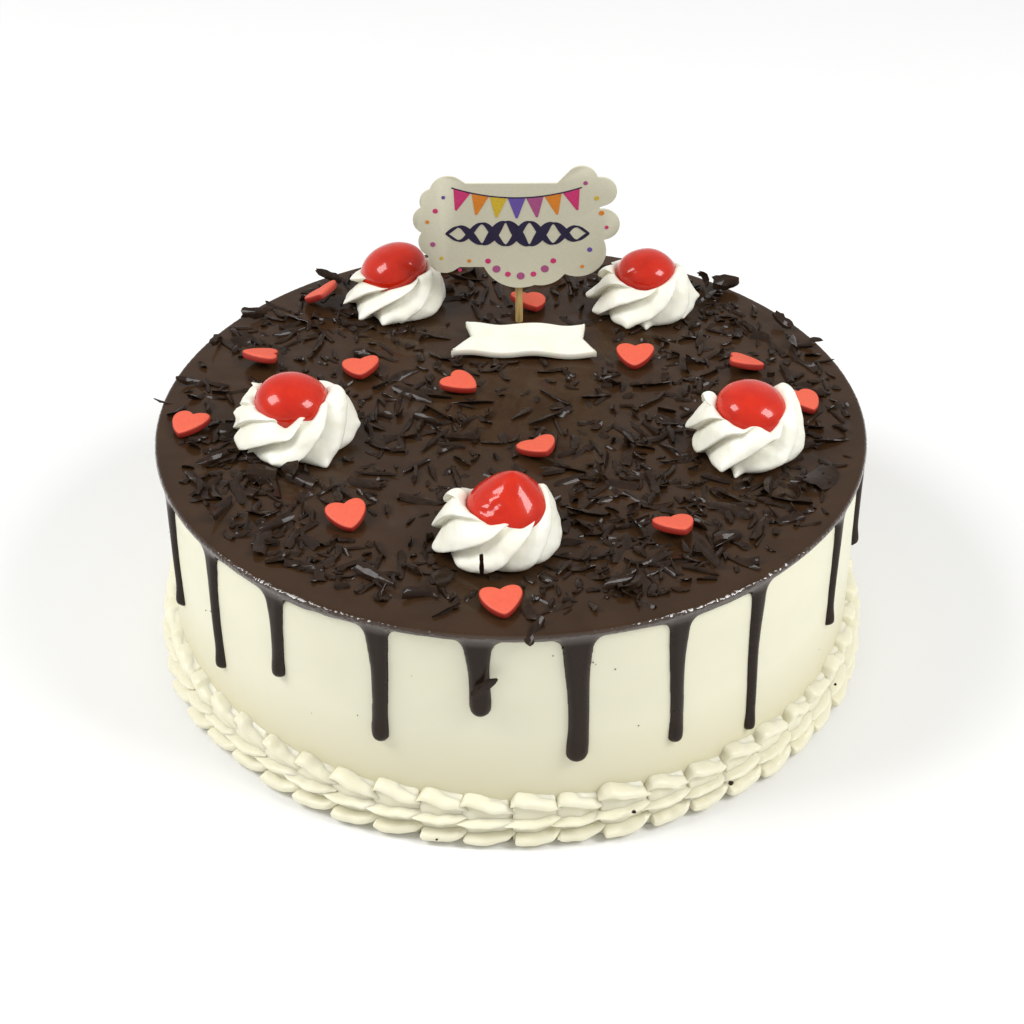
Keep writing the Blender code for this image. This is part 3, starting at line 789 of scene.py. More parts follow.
def wood_finish(settings):
    finish = Finish("stick_wood", settings.wood, 0.65)
    grain = finish.noise(0.5 * MM, detail=5.0, scale=(1.0, 1.0, 0.08))
    streaks = finish.spread(grain, 0.35, 0.65)
    finish.paint(finish.blend(streaks, tinted(finish.base, 0.7), tinted(finish.base, 1.2)))
    finish.feed(finish.shader["Roughness"], finish.spread(grain, 0.3, 0.7, 0.55, 0.75))
    finish.bump(grain, 0.08 * MM, 0.6)
    return finish.material


def floor_finish(settings):
    finish = Finish("plain_floor", settings.floor, 0.7)
    faint = finish.spread(finish.noise(0.2), 0.3, 0.7)
    finish.paint(finish.blend(faint, finish.base, tinted(finish.base, 0.985)))
    finish.bump(finish.noise(1.5 * MM, detail=2.0), 0.02 * MM, 0.15)
    return finish.material


def lip_drop(angle):
    """How far the ganache's lower edge hangs below its mean, round the cake."""
    return 0.5 * MM * (np.sin(5.0 * angle + 0.6) + 0.6 * np.sin(11.0 * angle))


def solid_flake(rng, placed):
    """Draw one large flake as the solids have it, or nothing where it has no room."""
    share = 1.0 - placed["count"] / CAD_FLAKES
    length = mixed(*CAD_FLAKE_LENGTH, share) * rng.uniform(0.9, 1.1) * MM
    width = mixed(*CAD_FLAKE_WIDTH, rng.random()) * MM
    heading = rng.uniform(0.0, math.pi)
    radius = FLAKE_FIELD * MM * math.sqrt(rng.random())
    angle = rng.uniform(-math.pi, math.pi)
    x, y = radius * math.cos(angle), radius * math.sin(angle)
    spots = []
    for step in (-0.5, -0.25, 0.0, 0.25, 0.5):
        spots.append((x + length * step * math.cos(heading), y + length * step * math.sin(heading)))
    reach = 0.5 * width + 0.8 * MM
    for px, py in spots:
        towards = (-0.5 * px - 0.85 * py) / max(math.hypot(px, py), MM)
        if math.hypot(px, py) + BARE_STRIP * MM * max(0.0, towards) > (FLAKE_FIELD + 2.0) * MM:
            return None
    if any(math.hypot(px - cx, py - cy) < r + reach for px, py in spots for cx, cy, r in placed["circles"]):
        return None
    if any(math.hypot(px - qx, py - qy) < reach + q for px, py in spots for qx, qy, q in placed["taken"]):
        return None
    placed["taken"] += [(px, py, 0.5 * width) for px, py in spots]
    placed["count"] += 1
    height = rng.uniform(*CAD_FLAKE_HEIGHT) * MM
    bend = rng.uniform(-0.08, 0.08) * length
    lean = rng.uniform(-0.8, 0.8)
    return x, y, heading, length, width, height, bend, lean


# Centre and radius of the bare spot round the stick
STICK_SPOT = (2.7 * MM, 55.1 * MM, 3.0 * MM)


def topping_circles():
    """Centre and radius of every topping that stands on the ganache."""
    circles = [(x * MM, y * MM, radius * MM * 1.06) for _, x, y, radius, _ in ROSETTES]
    circles += [(x * MM, y * MM, 0.56 * HEART_WIDTH) for x, y, *_ in HEARTS]
    circles.append(STICK_SPOT)
    middle = 0.5 * (PLAQUE_EDGES[0][0] + PLAQUE_EDGES[-1][0]) * MM
    circles += [(mixed(-13.0, 22.0, i / 3) * MM, middle, 11.5 * MM) for i in range(4)]
    return circles


def draws_of_the_solids():
    """Repeat the random draws behind the solids, so that each piece lies where its solid is."""
    rng = random.Random(11)
    drips = [(math.radians(turn), tip * MM, width * MM) for turn, tip, width in FRONT_DRIPS]
    for index in range(BACK_DRIPS):
        turn = BACK_DRIP_START + BACK_DRIP_STEP * index + rng.uniform(-2.0, 2.0)
        drips.append((math.radians(turn), rng.uniform(20.0, 46.0) * MM, rng.uniform(3.4, 6.0) * MM))
    placed = {"circles": topping_circles(), "taken": [], "count": 0}
    flakes = []
    for _ in range(60 * CAD_FLAKES):
        if placed["count"] == CAD_FLAKES:
            break
        flakes.append(solid_flake(rng, placed))
    shells = []
    for _ in range(bpy.context.scene.piping.shells):
        tall, deep = rng.uniform(0.94, 1.03), rng.uniform(0.88, 1.1)
        shells.append((tall, deep, rng.uniform(0.0, 0.06), rng.uniform(-0.06, 0.06)))
    lobes = {}
    for name, *_ in ROSETTES:
        lobes[name] = [rng.uniform(0.92, 1.07) for _ in range(8)]
    return {"drips": drips, "flakes": [f for f in flakes if f], "shells": shells, "lobes": lobes}


def coat_relief(points, settings):
    return settings.relief * (ripples(points, 34 * MM, 3) + 0.35 * ripples(points, 9 * MM, 4))


def make_cream_coat(settings):
    """The cream on the side, pressed in at the foot and bevelled where the ganache covers it."""
    radius = CAKE_HIGH.x
    inset = 0.18 * MM
    foot = 1.2 * MM
    top = CAKE_HIGH.z + 1.2 * MM
    bevel = 1.0 * MM
    angle = directions(512)
    rings = []
    for height in np.concatenate(([0.0, 0.35 * MM], steps(foot, top - bevel, 64))):
        relief = coat_relief(around(radius, angle, height), settings)
        reach = radius + relief * ease(0.0, 3 * MM, height)
        reach = reach - 0.5 * MM * (1.0 - ease(0.0, foot, height)) - inset
        rings.append(around(reach, angle, height))
    for turn in steps(0.2, 1.0, 5) * math.pi / 2:
        reach = radius - inset - bevel * (1 - math.cos(turn))
        rings.append(around(reach, angle, top - bevel + bevel * math.sin(turn)))
    rings.append(around(radius * 0.5, angle, top))
    add_skin("cream_coat", rings, cream_coat_finish(settings), "cake_body")


RIM_COLUMNS = 1792
RIM_ROUNDING = 1.4 * MM
SKIRT_STEP = 0.4 * MM
SKIRT_FOOT = 16.0 * MM
LOWEST_SLOPE = 0.2

# The flat top inside the rim, in bands with fewer and fewer columns: how many times fewer, outer and
# inner radius in millimetres, and rings
TOP_BANDS = (
    (1, 99.9, 98.2, 3),
    (2, 97.0, 74.0, 24),
    (4, 72.8, 44.0, 24),
    (8, 42.5, 20.0, 15),
    (16, 18.0, 4.0, 7),
)


def ganache_cover(arc, height, drips, settings):
    """How far a spot on the side lies inside the ganache's edge; below zero is bare cream."""
    radius = CAKE_HIGH.x
    angle = arc / radius
    lip = settings.top - settings.lip_depth - lip_drop(angle)
    cover = height - lip + 0.25 * MM * ripples(np.stack((arc, height * 0.0), -1), 9 * MM, 8)
    for number, (turn, tip, width) in enumerate(drips):
        half = 0.5 * width
        sway = 0.3 * MM * np.sin(height * 150.0 + number)
        aside = np.abs(angle_between(angle, turn) * radius + sway)
        length = lip - tip
        share = np.clip((height - tip) / length, 0.0, 1.2)
        bulb = 0.12 * np.exp(-(((height - tip - 1.4 * half) / (1.6 * half)) ** 2))
        wide = half * (0.84 + bulb + 0.22 * share + 0.4 * ease(0.55, 1.15, share))
        centre = tip + half * 0.9
        below = half * (0.86 + bulb) - np.hypot(aside, height - centre)
        inside = np.where(height > centre, wide - aside, below)
        cover = soft_max(cover, inside, settings.shoulder * mixed(0.25, 1.0, ease(0.35, 0.9, share)))
    return cover


def drip_swell(arc, height, drips, settings):
    """How thick the ganache may get at a spot of the side: a drip is fuller near its tip."""
    radius = CAKE_HIGH.x
    swell = np.full(arc.shape, 1.5 * MM)
    for turn, tip, width in drips:
        aside = angle_between(arc / radius, turn) * radius
        near = np.exp(-((aside / width) ** 2) - ((height - tip - 2.2 * MM) / (3.4 * MM)) ** 2)
        swell = swell + near * 0.55 * MM
    return swell * settings.drip_thickness / (1.6 * MM)


def make_skirt(drips, settings):
    """The grid of the ganache on the cake's side: its points, and the cells that it covers."""
    radius = CAKE_HIGH.x
    high = settings.top - RIM_ROUNDING
    heights = high - np.arange(int((high - SKIRT_FOOT) / SKIRT_STEP)) * SKIRT_STEP
    arc, height = np.meshgrid(directions(RIM_COLUMNS) * radius, heights)
    cover = ganache_cover(arc, height, drips, settings)
    slope_down, slope_side = np.gradient(cover, heights, arc[0])
    steep = np.maximum(slope_down**2 + slope_side**2, LOWEST_SLOPE)
    outside = cover < 0.0
    shift = np.where(outside, np.maximum(cover, -0.6 * MM), 0.0)
    arc = arc - shift * slope_side / steep
    height = height - shift * slope_down / steep
    rise = np.clip(cover / (2.0 * MM), 0.0, 1.0)
    thick = drip_swell(arc, height, drips, settings) * (1.0 - (1.0 - rise) ** 2) ** 0.6
    for _ in range(2):
        padded = np.vstack((thick[:1], thick, thick[-1:]))
        nearby = padded[:-2] + padded[2:] + np.roll(thick, 1, 1) + np.roll(thick, -1, 1)
        thick = 0.5 * thick + 0.125 * nearby
        thick[outside] = 0.0
    thick = mixed(thick, settings.rim - radius, ease(high - 1.2 * MM, high, height))
    reach = np.where(outside, radius - 0.25 * MM, radius - 0.1 * MM + thick)
    reach[0] = settings.rim
    points = around(reach, arc / radius, height)
    inside = ~outside
    beside = np.roll(inside, -1, 1)
    cells = (inside | beside)[:-1] | (inside | beside)[1:]
    return points, cells


def rim_sparkle(points):
    """Fine beading along the rim, strongest at the front left and the front right."""
    angle = np.arctan2(points[..., 1], points[..., 0])
    share = 0.5
    for direction, more, spread in ((-125.0, 1.2, 0.45), (-50.0, 1.1, 0.35)):
        share = share + more * np.exp(-((angle_between(angle, math.radians(direction)) / spread) ** 2))
    beads = 0.17 * ripples(points, 1.6 * MM, 21, 14) + 0.11 * ripples(points, 0.9 * MM, 22, 14)
    return share * MM * beads


def top_relief(points):
    fade = 1.0 - ease(98.0 * MM, 101.0 * MM, np.linalg.norm(points[..., :2], axis=-1))
    return fade * MM * (0.16 * ripples(points, 17 * MM, 11) + 0.07 * ripples(points, 6 * MM, 12))


def make_ganache(settings, draws):
    """The poured top as one skin: a smooth disc, a beaded rim and the drips."""
    shape = Shape()
    points, cells = make_skirt(draws["drips"], settings)
    rows, columns = points.shape[:2]
    index = np.arange(rows * columns).reshape(rows, columns)
    after = np.roll(index, -1, 1)
    faces = np.stack((index[1:], after[1:], after[:-1], index[:-1]), -1)[cells]
    used = np.unique(faces)
    compact = np.full(rows * columns, -1)
    compact[used] = np.arange(len(used))
    shape.add(points.reshape(-1, 3)[used], compact[faces])
    bend = settings.top - points[0, 0, 2]
    inner = settings.rim - bend
    low = settings.top - bend
    rings = []
    for turn in steps(0.0, 1.0, 9)[1:] * math.pi / 2:
        rings.append((inner + bend * math.cos(turn), low + bend * math.sin(turn), columns))
    for fewer, outer_end, inner_end, number in TOP_BANDS:
        for radius in steps(outer_end, inner_end, number):
            rings.append((radius * MM, settings.top, columns // fewer))
    before, before_count = compact[index[0]], columns
    for radius, height, count in rings:
        ring = around(radius, directions(count), height)
        ring[:, 2] += top_relief(ring)
        if radius > TOP_BANDS[0][1] * MM:
            ring[:, :2] *= (1.0 + rim_sparkle(ring) / radius)[:, None]
        here = shape.count + np.arange(count)
        shape.add(ring)
        after, later = np.roll(here, -1), np.roll(before, -1)
        if count == before_count:
            shape.add_faces(np.stack((before, later, after, here), -1))
        else:
            shape.add_faces(np.stack((before[::2], before[1::2], here), -1))
            shape.add_faces(np.stack((before[1::2], later[1::2], after, here), -1))
        before, before_count = here, count
    shape.add_faces([before])
    mesh = shape.mesh("ganache_skin", outward=False)
    add_piece("ganache_skin", mesh, [ganache_finish(settings)], ["ganache"], 60.0)


FLAKE_STATIONS = 7
FLAKE_ACROSS = np.array((-1.0, -0.36, 0.36, 1.0))

# Ranges of a flake's curl across, its arch along and its twist
LARGE_CURL = ((0.2, 1.9), (-0.3, 0.4), (-0.8, 0.8))
CHOSEN_CURL = ((0.5, 1.3), (-0.2, 0.3), (-0.6, 0.6))
SMALL_CURL = ((-0.5, 2.0), (-0.4, 0.5), (-1.2, 1.2))


def flake_rings(draw, length, width, thick, curl):
    """Sections of one thin, curled and ragged flake that lies along X."""
    roll_up, arch, spin = (draw.uniform(low, high) for low, high in curl)
    along = steps(-0.5, 0.5, FLAKE_STATIONS)
    blunt = draw.uniform(0.25, 0.95, 2)
    end = np.where(along < 0, blunt[0], blunt[1])
    taper = (1.0 - end) * (2.0 * np.abs(along)) ** draw.uniform(1.4, 3.0)
    side = np.outer((1.0 - taper) * draw.uniform(0.84, 1.12, FLAKE_STATIONS), FLAKE_ACROSS)
    along = along[:, None]
    tips = (2.0 * along) ** 2
    side += draw.uniform(-0.1, 0.1, side.shape)
    side += draw.uniform(-0.3, 0.3) * tips
    lift = -roll_up * side**2 * 0.5 + arch * tips + draw.uniform(-0.05, 0.05, side.shape)
    twist = spin * along
    x = along * length + draw.uniform(-0.05, 0.05, side.shape) * length
    y = 0.5 * width * (side * np.cos(twist) - lift * np.sin(twist))
    z = 0.5 * width * (side * np.sin(twist) + lift * np.cos(twist))
    body = thick * (1.0 - 0.55 * np.abs(FLAKE_ACROSS)) * (1.0 - 0.5 * (2.0 * np.abs(along)) ** 3)
    upper = np.stack((x, y, z + 0.5 * body), -1)
    lower = np.stack((x, y, z - 0.5 * body), -1)
    return np.concatenate((upper, lower[:, ::-1]), 1)


def laid(rings, spot, heading, roll, pitch):
    """Roll, tip and turn a flake, and set it down at a spot."""
    return turned(rings, heading, pitch, roll) + np.array(spot)


def flake_weight(x, y):
    """How readily a flake lies at a spot in millimetres, with a wider bare strip at the front rim."""
    weight = 0.75
    for cx, cy, radius, more in FLAKE_CLUMPS:
        weight += more * math.exp(-(((x - cx) ** 2 + (y - cy) ** 2) / radius**2))
    far = math.hypot(x, y)
    towards = max(0.0, (-0.3 * x - 0.95 * y) / max(far, 1.0))
    edge = 100.0 - 4.0 * towards
    return weight * (1.0 - float(ease(edge - 3.5, edge, far)))


FLAKE_GAP = 1.9
LARGE_FLAKE_GAP = 1.7
TOPPING_GAP = 0.6
THICKEST = 2.6


def scattered_spots(settings, taken):
    """Spots in millimetres for the small flakes, kept off the toppings and away from one another."""
    rng = random.Random(29)
    circles = [(x / MM, y / MM, radius / MM * 0.86) for x, y, radius in topping_circles()]
    spots = []
    kept = [(x / MM, y / MM, LARGE_FLAKE_GAP) for x, y in taken]
    while len(spots) < settings.flakes:
        far = 101.0 * math.sqrt(rng.random())
        turn = rng.uniform(-math.pi, math.pi)
        x, y = far * math.cos(turn), far * math.sin(turn)
        if rng.random() * THICKEST > flake_weight(x, y):
            continue
        if any(math.hypot(x - cx, y - cy) < radius + TOPPING_GAP for cx, cy, radius in circles):
            continue
        if any(abs(x - cx) < FLAKE_GAP and math.hypot(x - cx, y - cy) < gap for cx, cy, gap in kept):
            continue
        kept.append((x, y, FLAKE_GAP))
        spots.append((x, y))
    return spots


def make_flakes(settings, draws):
    """All the chocolate shavings as one mesh, from large curls to slivers."""
    draw = np.random.default_rng(5)
    shape = Shape()
    taken = []
    for x, y, heading, length, width, height, bend, lean in draws["flakes"]:
        wide = max(width, height) * draw.uniform(1.0, 1.3)
        rings = flake_rings(draw, length, wide, draw.uniform(0.4, 0.7) * MM, LARGE_CURL)
        roll = math.copysign(math.asin(min(0.85, height / wide)), lean) + draw.uniform(-0.15, 0.15)
        spot = (x, y, settings.top + 0.42 * height)
        shape.add_rings(laid(rings, spot, heading, roll, draw.uniform(-0.07, 0.07)))
        for step in (-0.3, 0.0, 0.3):
            taken.append((x + length * step * math.cos(heading), y + length * step * math.sin(heading)))
    for x, y, z, length, width, heading, roll, pitch in CHOSEN_FLAKES:
        rings = flake_rings(draw, length * MM, width * MM, 0.55 * MM, CHOSEN_CURL)
        angles = [math.radians(value) for value in (heading, roll, pitch)]
        shape.add_rings(laid(rings, (x * MM, y * MM, z * MM), *angles))
    for x, y in scattered_spots(settings, taken):
        length = min(12.0, 2.0 + draw.gamma(2.0, 1.55)) * MM
        width = min(0.7 * length, (0.9 + draw.gamma(2.0, 0.55)) * MM)
        thick = draw.uniform(0.35, 0.95) * MM
        rings = flake_rings(draw, length, width, thick, SMALL_CURL)
        roll = draw.normal(0.0, 0.7)
        spot = (x * MM, y * MM, settings.top + 0.3 * thick + 0.3 * width * abs(math.sin(roll)))
        shape.add_rings(laid(rings, spot, draw.uniform(0.0, math.pi), roll, draw.normal(0.0, 0.13)))
    mesh = shape.mesh("chocolate_flakes")
    add_piece("chocolate_flakes", mesh, [flake_finish(settings)], sharp=32.0)


SHELL_STATIONS = 26

# Fins and core of one shell, from its left end to its right: place across the shell, reach as a share
# of its depth, and then as shares of its height the edge's height, the thickness and the upper fall
TOP_FIN = (
    (-0.06, 0.46, 0.79, 0.02, 0.09),
    (0.06, 0.62, 0.86, 0.035, 0.12),
    (0.28, 0.72, 0.84, 0.045, 0.14),
    (0.55, 0.72, 0.79, 0.045, 0.14),
    (0.85, 0.60, 0.74, 0.04, 0.12),
    (1.08, 0.40, 0.70, 0.02, 0.08),
)
MIDDLE_FIN = (
    (-0.20, 0.80, 0.50, 0.012, 0.02),
    (-0.06, 0.94, 0.50, 0.03, 0.05),
    (0.20, 1.00, 0.49, 0.05, 0.09),
    (0.50, 0.98, 0.49, 0.055, 0.10),
    (0.80, 0.84, 0.52, 0.05, 0.09),
    (1.04, 0.56, 0.56, 0.03, 0.06),
)
BOTTOM_FIN = (
    (0.01, 0.96, 0.17, 0.08, 0.11),
    (0.08, 1.04, 0.16, 0.10, 0.13),
    (0.36, 1.06, 0.15, 0.11, 0.14),
    (0.66, 1.00, 0.18, 0.11, 0.14),
    (0.90, 0.84, 0.24, 0.10, 0.12),
    (1.08, 0.50, 0.30, 0.06, 0.08),
)
SHELL_CORE = (
    (-0.04, 0.34, 0.42, 0.42, 0.46),
    (0.03, 0.46, 0.43, 0.43, 0.50),
    (0.40, 0.50, 0.44, 0.44, 0.51),
    (0.80, 0.42, 0.44, 0.42, 0.48),
    (1.08, 0.24, 0.46, 0.38, 0.44),
)

# Section of a fin from the wall outwards: share of its reach, and rise in its thickness or fall
FIN_SECTION = (
    (0.0, -1.5),
    (0.45, -1.15),
    (0.75, -0.8),
    (0.93, -0.45),
    (0.99, -0.2),
    (1.0, 0.05),
    (0.98, 0.3),
    (0.90, 0.5),
    (0.70, 0.72),
    (0.40, 0.92),
    (0.0, 1.0),
)


def fin_rings(rows, tall, deep, wobble):
    """A closed fin along a shell: a wedge from the wall outwards whose edge is blunt and wavy."""
    share = steps(0.0, 1.0, SHELL_STATIONS)
    across, reach, height, under, over = through(rows, share).T
    waves = ripples(np.column_stack((across * 12.0, height * 8.0 + wobble)), 5.0, 18)
    reach = deep * (reach + 0.05 * waves)
    ragged = ripples(np.column_stack((across * 12.0 + 9.0, height + wobble)), 4.0, 19)
    height = tall * (height + 0.012 * ragged)
    end = np.minimum(1.0, 5.0 * np.minimum(share, 1.0 - share) + 0.25)
    rings = []
    for out, rise in FIN_SECTION:
        level = np.where(rise < 0.0, rise * under, rise * over) * tall * end
        rings.append(np.stack((across, reach * out, height + level), -1))
    rings = np.array(rings).transpose(1, 0, 2)
    rings[:, 0, 1] = rings[:, -1, 1] = -0.5 * MM
    rings[..., 2] = np.maximum(rings[..., 2], 0.0)
    return rings


def make_shell_border(settings, draws):
    """Piped shells round the foot, each with a core and three fins that lap over the last shell's tail."""
    shape = Shape()
    wall = CAKE_HIGH.x + 0.1 * MM
    count = settings.shells
    draw = np.random.default_rng(17)
    for index, (tall, deep, tip, shift) in enumerate(draws["shells"]):
        tall *= settings.shell_height
        deep *= settings.shell_depth
        for rows in (SHELL_CORE, TOP_FIN, MIDDLE_FIN, BOTTOM_FIN):
            rows = np.array(rows)
            rows[:, 1] *= draw.uniform(0.93, 1.05)
            rows[:, 2] += draw.uniform(-0.015, 0.015)
            rows[0, 0] += draw.uniform(-0.05, 0.03)
            if rows[0, 2] > 0.7:
                rows[:3, 2] += tip * np.array((0.3, 0.7, 1.0))
                rows[2, 0] += draw.uniform(-0.10, 0.12)
            rings = fin_rings(rows, tall, deep, draw.uniform(0.0, 40.0))
            angle = ALL_ROUND * (index + rings[..., 0] + shift * (1.0 - rings[..., 0])) / count
            shape.add_rings(around(wall + rings[..., 1], angle, rings[..., 2]))
    # Painted shade and reflection: the shells' cream is a darker, yellower copy of the rosette cream.
    material = piped_cream_finish("shell_cream_painted_shade", settings.shaded_shell_colour)
    add_piece("piped_shells", shape.mesh("piped_shells"), [material], ["shell_border"], 60.0)


# A rosette from foot to crown: reach against its radius, height in millimetres, depth of the pleats
# and how far they have turned
ROSETTE_ROWS = (
    (0.70, 0.0, 0.10, 0.20),
    (0.87, 1.2, 0.13, 0.15),
    (0.94, 3.6, 0.14, 0.03),
    (0.89, 7.0, 0.13, -0.16),
    (0.80, 10.4, 0.10, -0.38),
    (0.68, 12.2, 0.06, -0.60),
    (0.54, 10.8, 0.02, -0.72),
    (0.42, 7.4, 0.0, -0.8),
)


def fold(turns):
    """A pleat's rise and fall over one turn: a long round back, then a steep drop into the crease."""
    turns = turns % 1.0
    rise = np.sin(np.minimum(turns / 0.78, 1.0) * math.pi / 2) ** 1.3
    drop = 0.5 + 0.5 * np.cos(np.clip((turns - 0.78) / 0.22, 0.0, 1.0) * math.pi)
    return 2.0 * rise * drop - 1.0


def along_circle(rows, angle):
    """A smooth value round a circle, through rows of a direction in degrees and a value."""
    turn, value = np.array(rows).T
    turn = np.concatenate((turn - 360.0, turn, turn + 360.0))
    fine = np.arange(-540.0, 540.0, 2.0)
    curve = np.interp(fine, turn, np.tile(value, 3))
    curve = np.convolve(curve, (0.06, 0.24, 0.4, 0.24, 0.06), "same")
    return np.interp(np.degrees(angle_between(angle, 0.0)), fine, curve)


def make_rosette(name, x, y, radius, turn, settings, lobes, material):
    """A swirl of pleated cream, undercut at the foot, with a ragged lip that holds a cherry."""
    columns = 320
    shares = steps(0.0, 1.0, 96)
    radius *= MM
    foot = bpy.context.scene.ganache.top - 0.15 * MM
    turns = np.arange(columns) / columns
    angle = ALL_ROUND * turns + math.radians(turn)
    place = turns * settings.pleats
    around_once = np.arange(len(lobes) + 1)
    lobe = np.interp(place, around_once, [*lobes, lobes[0]])
    lips = along_circle(LIPS[name], angle) * MM
    depths = PLEAT_DEPTHS[name]
    rings = []
    for share, (reach, height, depth, twist) in zip(shares, through(ROSETTE_ROWS, shares)):
        wander = 0.12 * np.sin(ALL_ROUND * turns * 3.0 + radius * 900.0 + share * 2.0)
        shifted = place + twist * 2.2 + wander
        wave = fold(shifted)
        deep = depth * np.interp((shifted + 0.4) % len(depths), around_once, [*depths, depths[0]])
        out = radius * reach * (1.01 + deep * wave * 0.72) * mixed(1.0, lobe, min(0.8, depth * 7.0))
        rise = height * MM * (1.0 + 0.3 * deep * wave) * mixed(1.0, lobe, 0.4)
        lip = float(ease(0.30, 0.66, share) * (1.0 - 0.6 * ease(0.76, 1.0, share)))
        rise = rise + lip * (lips + wave * deep * 3.0 * MM)
        for direction, level, length, width in SPIKES[name]:
            aside = angle_between(angle, math.radians(direction)) * radius / MM
            near = np.exp(-np.abs(aside / width) ** 1.5 - np.abs((rise / MM - level) / 1.8) ** 1.6)
            out = out + length * MM * near * (share < 0.72)
            rise = rise - 0.4 * MM * near * (share < 0.5)
        swirl = angle + 0.8 * deep * wave * (0.3 + share) * (1.0 - ease(0.7, 0.95, share))
        points = around(out, swirl, rise)
        wobble = 0.14 * MM * ripples(points, 5 * MM, 31) + 0.05 * MM * ripples(points, 1.8 * MM, 32)
        points[:, :2] *= (1.0 + wobble / np.maximum(out, MM))[:, None]
        rings.append(points)
    rings = np.array(rings)
    rings[..., 2] = np.maximum(rings[..., 2], 0.0)
    rings = rings + np.array((x * MM, y * MM, foot))
    add_skin("cream_rosette_" + name, rings, material, "rosette_" + name, 70.0)


def make_cherry(name, row, material):
    """A candied cherry, wider than tall, slightly uneven, tilted, with a torn peak if it has one."""
    x, y, z, radius, squat, tilt, peak = row
    angle = directions(128)
    rings = []
    for level in steps(0.01, 0.99, 80) * math.pi - math.pi / 2:
        points = around(math.cos(level), angle, math.sin(level))
        near = np.exp(-(((points[:, 0] + 0.35) / 0.4) ** 2)) * ease(-0.1, -0.5, points[:, 1])
        crumple = 0.011 * peak * near * ripples(points, 0.24, 44)
        swell = 1.0 + 0.018 * ripples(points, 1.4, 41 + len(name)) + 0.006 * ripples(points, 0.5, 43)
        swell += crumple * max(0.0, math.sin(2.0 * level))
        points = points * swell[:, None] * radius * MM
        upper = max(0.0, math.sin(level))
        pointed = (upper * (1.0 - math.cos(level))) ** 1.4
        rise = mixed(upper**3, pointed, 0.5) * 1.7 * peak * MM
        points[:, 2] = points[:, 2] * (squat - 0.055 * peak * (upper > 0.0)) + rise
        points[:, 0] += 0.22 * rise
        rings.append(points)
    rings = turned(np.array(rings), pitch=math.radians(tilt)) + np.array((x, y, z)) * MM
    add_skin("candied_cherry_" + name, rings, material, "cherry_" + name, 80.0)


def heart_outline(count):
    """A plump heart with a shallow notch and a blunt point along +X, centred in its box."""
    turn = ALL_ROUND * (np.arange(count) + 0.5) / count
    ahead = 0.5 * np.cos(2.0 * turn) - np.cos(turn) - 0.375
    narrow = 1.17 - 0.89 * (0.5 + 0.5 * np.cos(turn)) ** 2
    side = np.sign(np.sin(turn)) * np.abs(np.sin(turn)) ** 1.35 * narrow
    return np.stack((HEART_LENGTH * ahead / 2.25, 0.5 * HEART_WIDTH * side), -1)


# A heart's rounded section from foot to middle: share of the outline, and share of the thickness
HEART_LEVELS = (
    (0.93, 0.0),
    (0.965, 0.10),
    (0.988, 0.35),
    (1.0, 0.60),
    (0.992, 0.76),
    (0.965, 0.89),
    (0.92, 0.965),
    (0.82, 1.0),
    (0.5, 1.02),
    (0.2, 1.02),
)


def make_heart(index, row, material):
    """A pressed sugar heart with a rounded upper edge, tipped against what lies under it."""
    x, y, heading, fall, lean = row
    outline = heart_outline(96)
    draw = np.random.default_rng(60 + index)
    outline = outline * (1.0 + 0.02 * ripples(outline, 7 * MM, 61 + index))[:, None]
    rings = []
    for scale, rise in HEART_LEVELS:
        height = np.full(len(outline), rise * HEART_THICKNESS * draw.uniform(0.995, 1.0))
        rings.append(np.column_stack((outline * scale, height)))
    rings = turned(np.array(rings), *[math.radians(value) for value in (heading, fall, lean)])
    name = f"heart_{index + 1:02d}"
    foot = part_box(name)[0].z
    rings += np.array((x * MM, y * MM, foot - rings[..., 2].min()))
    add_skin("sugar_" + name, rings, material, name, 50.0)


def plaque_outline():
    """The ribbon's edge in millimetres, from its front left corner to the right and round."""
    y_rows, lefts, rights = np.array(PLAQUE_EDGES).T
    y = steps(y_rows[0], y_rows[-1], PLAQUE_ROWS + 1)
    left_end = np.column_stack((np.interp(y, y_rows, lefts), y))
    right_end = np.column_stack((np.interp(y, y_rows, rights), y))
    share = steps(0.0, 1.0, PLAQUE_COLUMNS + 1)
    front = np.column_stack((mixed(lefts[0], rights[0], share), np.full(len(share), y_rows[0])))
    back = np.column_stack((mixed(lefts[-1], rights[-1], share), np.full(len(share), y_rows[-1])))
    return np.concatenate((front[:-1], right_end[:-1], back[:0:-1], left_end[:0:-1]))


def make_plaque(settings):
    """A thick sugar ribbon with notched ends, a little wavy, its edges rounded by hand."""
    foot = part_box("plaque")[0].z
    outline = plaque_outline()
    left, right = PLAQUE_EDGES[0][1:]
    along = np.roll(outline, -1, 0) - np.roll(outline, 1, 0)
    inward = np.stack((-along[:, 1], along[:, 0]), -1)
    inward /= np.linalg.norm(inward, axis=1, keepdims=True)
    rings = []
    for rise, inset in PLAQUE_LEVELS:
        flat = (outline + inward * inset) * MM
        share = np.clip((flat[:, 0] / MM - left) / (right - left), 0.0, 1.0)
        wave = PLAQUE_WAVE * (1.0 + np.sin(2.2 * ALL_ROUND * share))
        uneven = 0.12 * MM * ripples(flat, 11 * MM, 71)
        height = foot + wave + rise * PLAQUE_THICKNESS + uneven
        rings.append(np.column_stack((flat[:, 0], flat[:, 1] - PLAQUE_SKEW * share, height)))
    rings = np.array(rings)
    shape = Shape()
    shape.add_rings(rings, capped=False)
    plaque_cover(shape, rings[-1], True)
    plaque_cover(shape, rings[0], False)
    mesh = shape.mesh("ribbon_plaque")
    add_piece("ribbon_plaque", mesh, [plaque_finish(settings)], ["plaque"], 50.0)


